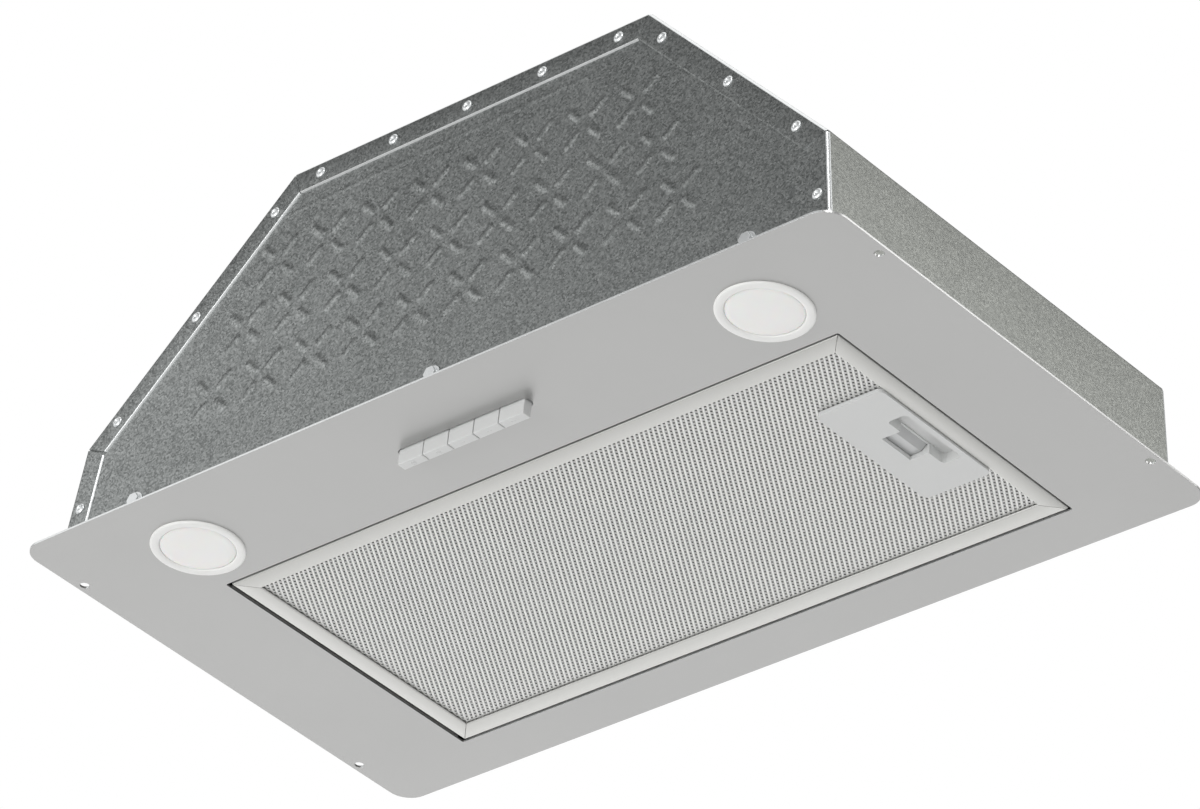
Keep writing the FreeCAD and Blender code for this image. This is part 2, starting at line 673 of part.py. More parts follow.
def scroll_half():
    """One half of the blower housing, on the -X side: side wall with an inlet, spiral wall, half flange."""
    top = BODY_HEIGHT - SHEET
    side = -SCROLL_HALF_WIDTH
    outside = scroll_solid(SCROLL_WALL, side, top)
    inside = scroll_solid(0, side + SCROLL_WALL, top + 1)
    eye = V(side, FAN_Y, FAN_Z)
    mouth = tube(INLET_R + 2, INLET_R, eye - X * 2, eye + X * 3.4)
    flange = pad((side - 10, 10), around(OUTLET_Y, 44), (top - 2, top), 3.0)
    flange = flange.cut(box((0, 20), (-100, 100), (top - 5, top + 5)))
    hollow = [inside, rod(INLET_R + 1, eye - X * 4, eye + X * 6)]
    for x, y in outlet_screw_spots():
        hollow.append(rod(2.0 + CLEARANCE, V(x, y, top - 4), V(x, y, top + 2)))
    return outside.fuse(flange).cut(hollow).fuse(mouth).removeSplitter()


def bracket_spots():
    """Centres (y, z) of the three feet of the motor bracket on the scroll's side wall."""
    spots = []
    for angle in (30, 150, 270):
        turn = math.radians(angle)
        spots.append((FAN_Y + 56 * math.cos(turn), FAN_Z + 56 * math.sin(turn)))
    return spots


def scroll_left_half():
    return scroll_half()


def scroll_right_half():
    half = mirrored(scroll_half())
    for y, z in bracket_spots():
        half = half.cut(rod(2.0 + CLEARANCE, V(SCROLL_HALF_WIDTH - 4, y, z), V(SCROLL_HALF_WIDTH + 4, y, z)))
    return half.removeSplitter()


def axle(x):
    return V(x, FAN_Y, FAN_Z)


def fan_blade():
    """One curved blade, the full width of the drum, on the +Y side of an axle through the origin."""
    inner, outer = FAN_INNER_R + 0.4, FAN_R - 0.4
    bulge, thickness = math.radians(6.7), math.radians(1.3)
    stations = ((inner, 0.0), ((inner + outer) / 2, bulge), (outer, 0.6 * bulge))
    faces = []
    for turn in (0.0, thickness):
        arc = [V(-FAN_HALF_WIDTH, r * math.cos(t + turn), r * math.sin(t + turn)) for r, t in stations]
        faces.append(arc)
    near, far = faces
    edges = [
        Part.Arc(near[0], near[1], near[2]).toShape(),
        Part.makeLine(near[2], far[2]),
        Part.Arc(far[2], far[1], far[0]).toShape(),
        Part.makeLine(far[0], near[0]),
    ]
    return Part.Face(Part.Wire(edges)).extrude(X * (2 * FAN_HALF_WIDTH))


def impeller_blades():
    """The ring of blades, which end on the two rings and stand on the rim of the disc."""
    blade = fan_blade()
    blade = blade.common(box((-FAN_HALF_WIDTH + RING_WIDTH, FAN_HALF_WIDTH - RING_WIDTH), (0, 60), (-10, 30)))
    pieces = []
    for i in range(BLADES):
        piece = blade.copy()
        piece.rotate(V(0, 0, 0), X, 360.0 / BLADES * i)
        piece.translate(axle(0))
        pieces.append(piece)
    return Part.makeCompound(pieces)


def impeller_rings():
    """A ring at each end of the drum that ties the blades together."""
    pieces = []
    for side in (-1, 1):
        end = side * FAN_HALF_WIDTH
        pieces.append(tube(FAN_R, FAN_INNER_R, axle(end - side * RING_WIDTH), axle(end)))
    return Part.makeCompound(pieces)


def impeller_disc():
    """The drum's middle disc with its hub, clamped on the shaft."""
    disc = rod(FAN_INNER_R + 0.4, axle(-1), axle(1)).fuse(rod(10.0, axle(-12), axle(6)))
    return disc.cut(rod(SHAFT_R, axle(-13), axle(7))).removeSplitter()


def motor_shaft():
    return rod(SHAFT_R, axle(-14), axle(62))


def motor_rotor():
    return tube(20.0, SHAFT_R, axle(23), axle(41))


def motor_cover(open_x, closed_x):
    """A cup round one end of the motor with a boss for the bearing."""
    way = 1 if closed_x > open_x else -1
    cup = rod(MOTOR_R, axle(open_x), axle(closed_x))
    cup = cup.cut(rod(MOTOR_R - 1.5, axle(open_x - way), axle(closed_x - way * 1.5)))
    boss = rod(10.5, axle(closed_x - way * 8), axle(closed_x - way))
    bore = rod(8.0, axle(closed_x - way * 9), axle(closed_x + way))
    return cup.fuse(boss).cut(bore).removeSplitter()


def motor_front_cover():
    return motor_cover(sum(MOTOR_X) / 2 - 1, MOTOR_X[0])


def motor_rear_cover():
    return motor_cover(sum(MOTOR_X) / 2 - 1, MOTOR_X[1])


def motor_stator():
    """The laminated ring, with slots for the windings."""
    ring = tube(MOTOR_R - 1.5, 21.0, axle(25), axle(39))
    slots = []
    for i in range(8):
        slot = box((20, 44), around(0, 3), (23.5, 29.5))
        slot.rotate(V(0, 0, 0), X, 45 * i)
        slot.translate(V(0, FAN_Y, FAN_Z))
        slots.append(slot)
    return ring.cut(slots).removeSplitter()


def motor_windings():
    """Eight coil sides through the slots, joined by a ring of end turns on each face."""
    parts = []
    for start, end in ((17.5, 24.8), (39.2, 46.0)):
        parts.append(tube(30.5, 22.5, axle(start), axle(end)))
    for i in range(8):
        side = box((24, 40), around(0, 2.6), (23.9, 29.1))
        side.rotate(V(0, 0, 0), X, 45 * i)
        side.translate(V(0, FAN_Y, FAN_Z))
        parts.append(side)
    return parts[0].fuse(parts[1:]).removeSplitter()


def motor_bearings():
    """A plain bush in the boss of each cover."""
    spans = ((MOTOR_X[0] + 0.5, MOTOR_X[0] + 7.5), (MOTOR_X[1] - 7.5, MOTOR_X[1] - 0.5))
    return Part.makeCompound([tube(8.0, SHAFT_R + CLEARANCE, axle(a), axle(b)) for a, b in spans])


def motor_bracket():
    """A ring clamped round the motor with three arms to the scroll's side wall."""
    low, high = SCROLL_HALF_WIDTH + 2.0, SCROLL_HALF_WIDTH + 4.5
    ring = tube(MOTOR_R + 3, MOTOR_R, axle(low), axle(high))
    parts, holes = [], []
    for (y, z), angle in zip(bracket_spots(), (30, 150, 270)):
        arm = box((low, high), around(0, 4), (MOTOR_R + 1.5, 56))
        arm.rotate(V(0, 0, 0), X, angle - 90)
        arm.translate(V(0, FAN_Y, FAN_Z))
        parts += [arm, rod(7.0, V(low, y, z), V(high, y, z))]
        holes.append(rod(2.0 + CLEARANCE, V(low - 1, y, z), V(high + 1, y, z)))
    return ring.fuse(parts).cut(holes).removeSplitter()


def bracket_bushes():
    """Rubber bushes between the arms and the scroll."""
    pieces = []
    for y, z in bracket_spots():
        foot = V(SCROLL_HALF_WIDTH, y, z)
        pieces.append(tube(6.0, 2.0 + CLEARANCE, foot, foot + X * 2))
    return Part.makeCompound(pieces)


def bracket_screws():
    """Pan-head screws through the arms, the bushes and the scroll's side wall."""
    pieces = []
    for y, z in bracket_spots():
        seat = V(SCROLL_HALF_WIDTH + 4.5, y, z)
        pieces.append(rod(2.0, seat - X * 9, seat).fuse(rod(3.8, seat, seat + X * 2.4)))
    return Part.makeCompound(pieces)


# ---- Air outlet ----
def outlet_screw_spots():
    """Centres (x, y) of the four screws through collar, top and scroll flange."""
    return [(sx * 54.0, OUTLET_Y + sy * 37.0) for sx in (-1, 1) for sy in (-1, 1)]


def collar_flange():
    """The flat ring round the foot of the duct collar, screwed to the top."""
    base = V(0, OUTLET_Y, BODY_HEIGHT)
    ring = tube(70.0, COLLAR_R - COLLAR_GAUGE, base, base + Z * COLLAR_GAUGE)
    return ring.cut([rod(2.0 + CLEARANCE, V(x, y, 180), V(x, y, 185)) for x, y in outlet_screw_spots()])


def duct_collar():
    """A round spigot on the flange that the duct slides over, with a ledge inside for the dampers."""
    base = V(0, OUTLET_Y, BODY_HEIGHT)
    wall = tube(COLLAR_R, COLLAR_R - COLLAR_GAUGE, base + Z * COLLAR_GAUGE, base + Z * COLLAR_HEIGHT)
    ledge_top = DAMPER_Z - 0.9
    ledge = tube(COLLAR_R - 0.5, COLLAR_R - 4.5, V(0, OUTLET_Y, ledge_top - 1.2), V(0, OUTLET_Y, ledge_top))
    ledge = ledge.cut(box((-70, 70), around(OUTLET_Y, 4), (ledge_top - 3, ledge_top + 1)))
    pin = V(0, OUTLET_Y, DAMPER_Z)
    return wall.fuse(ledge).cut(rod(DAMPER_PIN_R + CLEARANCE, pin - X * 70, pin + X * 70)).removeSplitter()


def outlet_screws():
    """Pan-head screws down through the collar's flange, the top and the scroll's flange."""
    pieces = []
    for x, y in outlet_screw_spots():
        seat = V(x, y, BODY_HEIGHT + COLLAR_GAUGE)
        pieces.append(rod(2.0, seat - Z * 9, seat).fuse(rod(3.8, seat, seat + Z * 2.4)))
    return Part.makeCompound(pieces)


def damper_pin():
    pin = V(0, OUTLET_Y, DAMPER_Z)
    return rod(DAMPER_PIN_R, pin - X * COLLAR_R, pin + X * COLLAR_R)


def damper_flap(side, knuckles):
    """A half disc that hangs on the pin by two knuckles and rests on the collar's ledge."""
    pin = V(0, OUTLET_Y, DAMPER_Z)
    gauge = 1.0
    low = DAMPER_Z - 0.6
    disc = rod(COLLAR_R - COLLAR_GAUGE - 1.6, V(0, OUTLET_Y, low), V(0, OUTLET_Y, low + gauge))
    leaf = disc.common(box((-70, 70), sorted((OUTLET_Y + side * 3.6, OUTLET_Y + side * 70)), (low - 1, low + 3)))
    parts = []
    for x0, x1 in knuckles:
        parts.append(rod(3.0, pin + X * x0, pin + X * x1))
        parts.append(box((x0, x1), sorted((OUTLET_Y, OUTLET_Y + side * 5)), (low, low + gauge)))
    bore = rod(DAMPER_PIN_R + CLEARANCE, pin - X * 60, pin + X * 60)
    return leaf.fuse(parts).cut(bore).removeSplitter()


def front_damper():
    return damper_flap(-1, ((-40, -28), (28, 40)))


def rear_damper():
    return damper_flap(1, ((-26, -14), (14, 26)))


# ---- Electrical pieces on the plate ----
TERMINAL_X = (-237.0, -203.0)
TERMINAL_Y = (30.0, 105.0)
GLAND_X = -220.0
GLAND_Z = 24.0


def terminal_box():
    """An open box on the plate, with a mouth towards the cable gland."""
    outside = pad(TERMINAL_X, TERMINAL_Y, (0, 34), 2.0)
    inside = box((TERMINAL_X[0] + 1.5, TERMINAL_X[1] - 1.5), (TERMINAL_Y[0] + 1.5, TERMINAL_Y[1] - 1.5), (1.5, 35))
    mouth = rod(6.0, V(GLAND_X, TERMINAL_Y[1] - 4, GLAND_Z), V(GLAND_X, TERMINAL_Y[1] + 4, GLAND_Z))
    return outside.cut([inside, mouth]).removeSplitter()


def terminal_lid():
    lid = pad(TERMINAL_X, TERMINAL_Y, (34, 36), 2.0)
    inside = box((TERMINAL_X[0] + 1.7, TERMINAL_X[1] - 1.7), (TERMINAL_Y[0] + 1.7, TERMINAL_Y[1] - 1.7), (31, 34.5))
    return lid.fuse(inside).removeSplitter()


def terminal_block():
    """A row of four screw terminals."""
    middle = sum(TERMINAL_X) / 2
    block = box(around(middle, 9), (45, 85), (1.5, 14))
    wells = []
    for i in range(4):
        y = 50 + 10 * i
        wells.append(rod(2.6, V(middle, y, 8), V(middle, y, 15)))
        wells.append(rod(2.2, V(middle - 10, y, 5.5), V(middle + 10, y, 5.5)))
    return block.cut(wells).removeSplitter()


def cable_gland():
    """A screwed gland in the rear panel: outer collar, thread, and lock nut."""
    wall = BODY_HALF_DEPTH - SHEET
    at = V(GLAND_X, wall, GLAND_Z)
    body = rod(7.9, at - Y * 9, at + Y * 3).fuse(hexagon(11.0, at, Y, 5.0))
    body = body.fuse([rod(8.5, at + Y * 4, at + Y * 12), hexagon(11.0, at - Y * (SHEET + 4.5), Y, 4.5)])
    return body.cut(rod(4.0, at - Y * 20, at + Y * 20)).removeSplitter()


def motor_capacitor():
    """A round can on its side, on a moulded foot, with two blade contacts."""
    start, end = V(221, -40, 15), V(221, 14, 15)
    can = rod(14.0, start, end)
    foot = box(around(221, 12), (-24, -4), (0, 10))
    blades = [box(around(221, 3.2), (13.5, 21), around(15 + dz, 0.4)) for dz in (-4, 4)]
    return can.fuse([foot] + blades).removeSplitter()


def lamp_driver():
    """A closed plastic box with a mounting ear at each end."""
    case = pad((207, 237), (36, 96), (0, 20), 3.0)
    ears = pad(around(222, 5), (28, 104), (0, 2), 4.5)
    holes = [rod(1.8, V(222, y, -1), V(222, y, 4)) for y in (32, 100)]
    return case.fuse(ears).cut(holes).removeSplitter()


PIECES = {
    "face_plate": face_plate,
    "plate_upturns": plate_upturns,
    "wrapper_shell": wrapper_shell,
    "front_panel": front_panel,
    "rear_panel": rear_panel,
    "front_rivets": lambda: rivets(-1),
    "rear_rivets": lambda: rivets(1),
    "foot_screws": foot_screws,
    "lamp_rings": lambda: both_sides(lamp_ring),
    "lamp_lenses": lambda: both_sides(lamp_lens),
    "lamp_boards": lambda: both_sides(lamp_board),
    "lamp_heat_sinks": lambda: both_sides(lamp_heat_sink),
    "lamp_spring_clips": lamp_clips,
    "switch_housing": switch_housing,
    "switch_board": switch_board,
    "filter_frame": filter_frame,
    "filter_front_mesh": filter_front_mesh,
    "filter_foil_layers": filter_foil_layers,
    "filter_back_mesh": filter_back_mesh,
    "filter_end_tabs": filter_end_tabs,
    "filter_handle": filter_handle,
    "latch_slide": latch_slide,
    "latch_spring": latch_spring,
    "scroll_left_half": scroll_left_half,
    "scroll_right_half": scroll_right_half,
    "impeller_disc": impeller_disc,
    "impeller_blades": impeller_blades,
    "impeller_rings": impeller_rings,
    "motor_shaft": motor_shaft,
    "motor_rotor": motor_rotor,
    "motor_front_cover": motor_front_cover,
    "motor_rear_cover": motor_rear_cover,
    "motor_stator": motor_stator,
    "motor_windings": motor_windings,
    "motor_bearings": motor_bearings,
    "motor_bracket": motor_bracket,
    "bracket_bushes": bracket_bushes,
    "bracket_screws": bracket_screws,
    "duct_collar": duct_collar,
    "collar_flange": collar_flange,
    "outlet_screws": outlet_screws,
    "damper_pin": damper_pin,
    "front_damper": front_damper,
    "rear_damper": rear_damper,
    "terminal_box": terminal_box,
    "terminal_lid": terminal_lid,
    "terminal_block": terminal_block,
    "cable_gland": cable_gland,
    "lamp_driver": lamp_driver,
    "motor_capacitor": motor_capacitor,
}


def build():
    os.makedirs("parts", exist_ok=True)
    shapes = {name: make() for name, make in PIECES.items()}
    for i, name in enumerate(BUTTON_NAMES):
        shapes[name] = button(i)
        shapes[name + "_spring"] = button_spring(i)
    for name, shape in shapes.items():
        shape.exportStep("parts/" + name + ".step")
        print(name, len(shape.Solids), shape.isValid(), round(shape.Volume, 1))


build()
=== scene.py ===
"""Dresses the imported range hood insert: real bends, pressed marks, mesh, lamps, keys and finishes.

Lengths are in millimetres in the piece code and become metres when a mesh is made.
The frame is the CAD's: +X to the filter's handle, -Y to the keys, +Z up into the cabinet.
"""

import bmesh
import bpy
import json
import math
import numpy as np
from bpy.props import FloatProperty, FloatVectorProperty, PointerProperty
from mathutils import Matrix, Vector

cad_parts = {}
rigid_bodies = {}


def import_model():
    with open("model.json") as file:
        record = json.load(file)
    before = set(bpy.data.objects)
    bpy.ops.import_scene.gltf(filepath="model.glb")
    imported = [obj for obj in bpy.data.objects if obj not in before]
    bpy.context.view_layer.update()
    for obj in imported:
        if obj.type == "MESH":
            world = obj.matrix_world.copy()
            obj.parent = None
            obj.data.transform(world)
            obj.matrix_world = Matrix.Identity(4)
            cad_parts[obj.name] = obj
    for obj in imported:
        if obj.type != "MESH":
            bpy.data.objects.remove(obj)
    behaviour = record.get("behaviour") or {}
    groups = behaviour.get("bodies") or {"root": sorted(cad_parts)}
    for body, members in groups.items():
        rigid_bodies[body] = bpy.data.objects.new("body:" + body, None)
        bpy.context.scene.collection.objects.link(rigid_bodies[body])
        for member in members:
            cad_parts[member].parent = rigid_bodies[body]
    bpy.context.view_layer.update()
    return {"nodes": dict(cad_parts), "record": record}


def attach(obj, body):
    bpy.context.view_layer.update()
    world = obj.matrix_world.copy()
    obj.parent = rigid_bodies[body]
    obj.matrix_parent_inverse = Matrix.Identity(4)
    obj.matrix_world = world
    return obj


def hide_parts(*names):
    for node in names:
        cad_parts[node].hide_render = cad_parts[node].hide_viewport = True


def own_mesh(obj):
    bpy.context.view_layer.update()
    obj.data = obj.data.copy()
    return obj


bl_info = {
    "name": "Range Hood Insert",
    "version": (1, 0, 0),
    "blender": (4, 5, 0),
    "location": "View3D > Sidebar > Hood",
    "description": "Builds the visible pieces of a built-in range hood insert around its CAD frame",
    "category": "Object",
}

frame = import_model()
BODIES = frame["record"]["behaviour"]["bodies"]
BODY_OF = {node: body for body, nodes in BODIES.items() for node in nodes}
SLOT_OF = {row["node"]: row["material_slot"] for row in frame["record"]["subparts"]}

MM = 0.001
LEFT_PROFILE = ((-250.0, 0.0), (-242.0, 60.0), (-118.0, 181.0))
OUTLINE = LEFT_PROFILE + tuple((-x, z) for x, z in reversed(LEFT_PROFILE))
HALF_DEPTH = 127.0
SHEET = 1.0
FLANGE = 14.0
PLATE_BOTTOM = -1.2
LAMP_X, LAMP_Y = 184.0, -95.0
KEY_ROW_Y, KEY_PITCH, KEY_UNDERSIDE = -100.0, 16.4, -9.0
WELD = 1e-6  # metres: points nearer than this are one point
BUTTONS = [name + "_button" for name in ("light", "stop", "low_speed", "medium_speed", "high_speed")]


# ---- Colours and nodes ----
def linear(colour):
    """An sRGB hex colour such as 'b8babb' as linear red, green, blue and alpha."""
    channels = [int(colour[i:i + 2], 16) / 255 for i in (0, 2, 4)]
    straight = [c / 12.92 if c <= 0.04045 else ((c + 0.055) / 1.055) ** 2.4 for c in channels]
    return (*straight, 1.0)


def add(tree, kind, sockets=None, **settings):
    """Adds a shader node; sockets maps an input's name or number to a value or an output to link."""
    node = tree.nodes.new("ShaderNode" + kind)
    for name, value in settings.items():
        setattr(node, name, value)
    for key, value in (sockets or {}).items():
        if isinstance(value, bpy.types.NodeSocket):
            tree.links.new(value, node.inputs[key])
        else:
            node.inputs[key].default_value = value
    return node


def finish_base(name, colour, metallic, roughness, **more):
    """A material with its plain shader values set; more maps socket names to values."""
    material = bpy.data.materials.new(name)
    material.use_nodes = True
    shader = material.node_tree.nodes["Principled BSDF"]
    values = {"Base Color": linear(colour), "Metallic": metallic, "Roughness": roughness}
    values.update({key.replace("_", " "): value for key, value in more.items()})
    for key, value in values.items():
        shader.inputs[key].default_value = value
    material.diffuse_color = linear(colour)
    return material, material.node_tree, shader


def mottled(name, dark, light, metallic, roughness, cloud, grain, relief, spread=0.06, **more):
    """A finish whose colour drifts over patches of cloud mm, with a surface grain of grain mm."""
    material, tree, shader = finish_base(name, light, metallic, roughness, **more)
    place = add(tree, "TexCoord").outputs["Object"]
    patches = add(tree, "TexNoise", {"Vector": place, "Scale": 1000 / cloud, "Detail": 4.0})
    colour = add(tree, "Mix", {0: patches.outputs["Fac"], 6: linear(dark), 7: linear(light)},
                 data_type="RGBA")
    tree.links.new(colour.outputs[2], shader.inputs["Base Color"])
    fine = add(tree, "TexNoise", {"Vector": place, "Scale": 1000 / grain, "Detail": 3.0})
    gloss = add(tree, "MapRange", {
        "Value": patches.outputs["Fac"], "To Min": roughness - spread, "To Max": roughness + spread})
    tree.links.new(gloss.outputs["Result"], shader.inputs["Roughness"])
    bump = add(tree, "Bump", {
        "Height": fine.outputs["Fac"], "Strength": 0.6, "Distance": relief * MM})
    tree.links.new(bump.outputs["Normal"], shader.inputs["Normal"])
    return material


def spangled_zinc(name, dark, light, roughness, tilt):
    """Hot-dip galvanised sheet: ragged zinc crystals, each with its own grey and its own lean."""
    crystal, ragged, cloud, grain = 0.9, 1.2, 60.0, 0.5  # sizes in mm
    material, tree, shader = finish_base(name, light, 0.9, roughness)
    place = add(tree, "TexCoord").outputs["Object"]
    bent = add(tree, "TexNoise", {"Vector": place, "Scale": 1000 / ragged, "Detail": 2.0})
    shift = add(tree, "VectorMath", {0: bent.outputs["Color"], 1: (0.5 * MM,) * 3},
                operation="MULTIPLY")
    moved = add(tree, "VectorMath", {0: place, 1: shift.outputs["Vector"]}, operation="ADD")
    crystals = add(tree, "TexVoronoi", {"Vector": moved.outputs["Vector"], "Scale": 1000 / crystal})
    one = add(tree, "SeparateColor", {"Color": crystals.outputs["Color"]})
    clouds = add(tree, "TexNoise", {"Vector": place, "Scale": 1000 / cloud, "Detail": 4.0})
    fine = add(tree, "TexNoise", {"Vector": place, "Scale": 1000 / grain, "Detail": 2.0})
    both = add(tree, "Math", {0: one.outputs["Red"], 1: 0.6}, operation="MULTIPLY")
    both = add(tree, "Math", {0: clouds.outputs["Fac"], 1: 0.25, 2: both.outputs["Value"]},
               operation="MULTIPLY_ADD")
    both = add(tree, "Math", {0: fine.outputs["Fac"], 1: 0.3, 2: both.outputs["Value"]},
               operation="MULTIPLY_ADD")
    colour = add(tree, "Mix", {0: both.outputs["Value"], 6: linear(dark), 7: linear(light)},
                 data_type="RGBA")
    tree.links.new(colour.outputs[2], shader.inputs["Base Color"])
    lean = add(tree, "VectorMath", {
        0: crystals.outputs["Color"], 1: (tilt,) * 3, 2: (-tilt / 2,) * 3}, operation="MULTIPLY_ADD")
    facet = add(tree, "VectorMath", {
        0: add(tree, "NewGeometry").outputs["Normal"], 1: lean.outputs["Vector"]}, operation="ADD")
    level = add(tree, "VectorMath", {0: facet.outputs["Vector"]}, operation="NORMALIZE")
    bump = add(tree, "Bump", {
        "Height": fine.outputs["Fac"], "Strength": 0.5, "Distance": 0.01 * MM,
        "Normal": level.outputs["Vector"]})
    tree.links.new(bump.outputs["Normal"], shader.inputs["Normal"])
    return material


def layered(name, base, dark, light, roughness, direction, distortion, strength, depth):
    """Bands 0.5 mm apart that run one way, as the sheets of a stack or the turns of a wire do."""
    material, tree, shader = finish_base(name, base, 0.9, roughness)
    place = add(tree, "TexCoord").outputs["Object"]
    bands = add(tree, "TexWave", {
        "Vector": place, "Scale": 1000 / 0.5 / math.tau, "Distortion": distortion},
        bands_direction=direction)
    colour = add(tree, "Mix", {0: bands.outputs["Fac"], 6: linear(dark), 7: linear(light)},
                 data_type="RGBA")
    tree.links.new(colour.outputs[2], shader.inputs["Base Color"])
    bump = add(tree, "Bump", {
        "Height": bands.outputs["Fac"], "Strength": strength, "Distance": depth * MM})
    tree.links.new(bump.outputs["Normal"], shader.inputs["Normal"])
    return material


def plastic(name, dark, light, roughness, cloud, grain, relief, ior, spread=0.06, **more):
    """A moulded plastic or rubber: even colour, the mould's fine grain and soft highlights."""
    return mottled(name, dark, light, 0.0, roughness, cloud, grain, relief, spread, IOR=ior, **more)


def frosted(name, dark, light):
    """A milky plastic that scatters the light inside its skin, with a faint emission that is a painted glow.
    """
    return plastic(name, dark, light, 0.5, 30.0, 0.3, 0.01, 1.58, 0.03,
                   # Emission_Strength is a faint painted glow that brightens the lens
                   Subsurface_Weight=0.25, Subsurface_Scale=0.002, Emission_Strength=0.04)


# ---- Finishes: for each slot its maker, the real material's name and its look ----
# mottled: dark, light, metallic, roughness, patches mm, grain mm, relief mm, spread of roughness
# plastic: dark, light, roughness, patches mm, grain mm, relief mm, IOR, spread of roughness
# spangled_zinc: dark, light, roughness, lean of the crystals
# layered: base, dark, light, roughness, direction, waviness, strength, relief mm
FINISHES = {
    # Sheet steel under a sprayed aluminium-flake lacquer: a soft grey sheen with no grain direction
    "silver_lacquer": (mottled, "satin_lacquered_steel",
                       "acacab", "b3b3b2", 0.75, 0.33, 90.0, 0.5, 0.004, 0.02),
    # Galvanised sheet as it comes: a dark, busy spangle
    "galvanised_sheet": (spangled_zinc, "galvanised_sheet", "424645", "b0b3b2", 0.35, 0.12),
    # The same sheet where the rolls have smoothed it: paler and more even
    "rolled_zinc": (spangled_zinc, "skin_passed_zinc", "868884", "9fa19c", 0.38, 0.06),
    # Bare sheared steel at cut edges, also laid on folds and edges as a painted highlight: clean and bright
    "sheared_edge": (mottled, "sheared_sheet_edge", "d9dbdb", "e8eaea", 0.7, 0.3, 5.0, 0.4, 0.004),
    # Roll-formed bare aluminium: pale, slightly warm, with a soft sheen
    "filter_aluminium": (mottled, "roll_formed_aluminium",
                         "c3c3c0", "cdcdca", 0.7, 0.38, 40.0, 0.6, 0.006),
    # Expanded aluminium sheet: bright cut strands
    "expanded_aluminium": (mottled, "expanded_aluminium",
                           "d6d6d4", "e4e4e2", 0.7, 0.32, 25.0, 0.5, 0.006),
    # Folded aluminium foil behind the mesh, greyed by shade
    "filter_foil": (mottled, "folded_aluminium_foil",
                    "626462", "868886", 0.9, 0.4, 3.0, 0.7, 0.05, 0.1),
    # Injection-moulded ABS under a silver paint: pale grey with fine spark-eroded grain
    "handle_plastic": (plastic, "silver_painted_abs",
                       "d3d4d3", "dadbda", 0.36, 60.0, 0.35, 0.012, 1.54, 0.03),
    # White moulded ABS: clean, with a satin edge light
    "lamp_ring_plastic": (plastic, "satin_white_abs",
                          "f2f2f0", "f8f8f6", 0.4, 60.0, 0.35, 0.012, 1.54, 0.03),
    # Frosted opal polycarbonate: milky white
    "lamp_lens_plastic": (frosted, "opal_polycarbonate", "f2f1ee", "f8f7f5"),
    # Stamped stainless strip with a fine rolled grain
    "latch_steel": (mottled, "stamped_stainless", "c2c3c3", "d0d1d1", 0.6, 0.42, 10.0, 0.3, 0.004),
    # Cold-drawn zinc-plated wire and strip: clean and bright
    "spring_steel": (mottled, "plated_spring_steel", "9b9fa1", "c2c5c6", 1.0, 0.27, 8.0, 0.4, 0.004),
    # Zinc-plated rivets and screws: small and bright, with a faint blue cast
    "zinc_hardware": (mottled, "zinc_plated_hardware",
                      "d2d5d6", "e8eaea", 0.75, 0.3, 3.0, 0.4, 0.006),
    # Glass-fibre epoxy with a green solder mask over a 0.6 mm weave
    "circuit_board": (plastic, "glass_epoxy_board", "1f5a3a", "2a7148", 0.35, 12.0, 0.6, 0.01, 1.55),
    # Die-cast aluminium: matt grey with a fine skin
    "heat_sink_aluminium": (mottled, "die_cast_aluminium",
                            "8f9294", "b0b3b5", 1.0, 0.5, 10.0, 0.8, 0.03),
    # Glass-filled nylon, moulded: near black with a dry sheen
    "housing_plastic": (plastic, "glass_filled_nylon",
                        "1c1d1f", "292a2c", 0.5, 20.0, 0.5, 0.02, 1.53),
    # Moulded polypropylene blower housing: mid grey, waxy
    "blower_plastic": (plastic, "moulded_polypropylene",
                       "4a4d50", "585b5e", 0.46, 50.0, 0.9, 0.02, 1.49),
    # Moulded polypropylene collar and flaps: near black with a waxy edge light
    "collar_plastic": (plastic, "black_polypropylene",
                       "232426", "2e3032", 0.42, 50.0, 0.9, 0.02, 1.49),
    # Moulded nylon boxes: off-white and slightly milky
    "pale_plastic": (plastic, "moulded_pale_nylon",
                     "d8d6cf", "e3e1da", 0.45, 30.0, 0.6, 0.02, 1.53),
    # Moulded rubber bush: matt black
    "bush_rubber": (plastic, "moulded_rubber", "151515", "202020", 0.8, 6.0, 0.6, 0.04, 1.52),
    # Deep-drawn steel cover, bright zinc plated
    "motor_metal": (mottled, "zinc_plated_cover", "9a9ea0", "b9bdbf", 1.0, 0.34, 18.0, 0.7, 0.01),
    # Stack of 0.5 mm electrical steel: oiled and dark, with bands across the stack
    "motor_laminations": (layered, "laminated_electrical_steel",
                          "4c4e51", "35373a", "6a6c70", 0.5, "X", 0.3, 0.5, 0.03),
    # Bundles of enamelled copper wire 0.5 mm thick: reddish, glossy, ribbed
    "winding_copper": (layered, "enamelled_copper",
                       "a4502a", "6d2f16", "b8643a", 0.3, "DIAGONAL", 2.0, 0.7, 0.1),
    # Sintered bronze bush: brown-gold and slightly porous
    "bearing_bronze": (mottled, "sintered_bronze", "7c5a33", "9c7744", 1.0, 0.45, 4.0, 0.3, 0.03),
    # Ground steel shaft: bright, with fine marks round it
    "shaft_steel": (mottled, "ground_steel", "b9bbbd", "cfd1d3", 1.0, 0.22, 15.0, 0.3, 0.003),
}
FINISHES["button_plastic"] = FINISHES["handle_plastic"]
made_finishes = {}


def finish_for(slot):
    """The material of a row of FINISHES, made once."""
    make, name, *look = FINISHES[slot]
    if name not in made_finishes:
        made_finishes[name] = make(name, *look)
    return made_finishes[name]


# ---- Making pieces ----
def to_scene(piece):
    """Puts a piece into the scene, if it isn't there yet."""
    objects = bpy.context.scene.collection.objects
    if piece.name not in objects:
        objects.link(piece)
    return piece


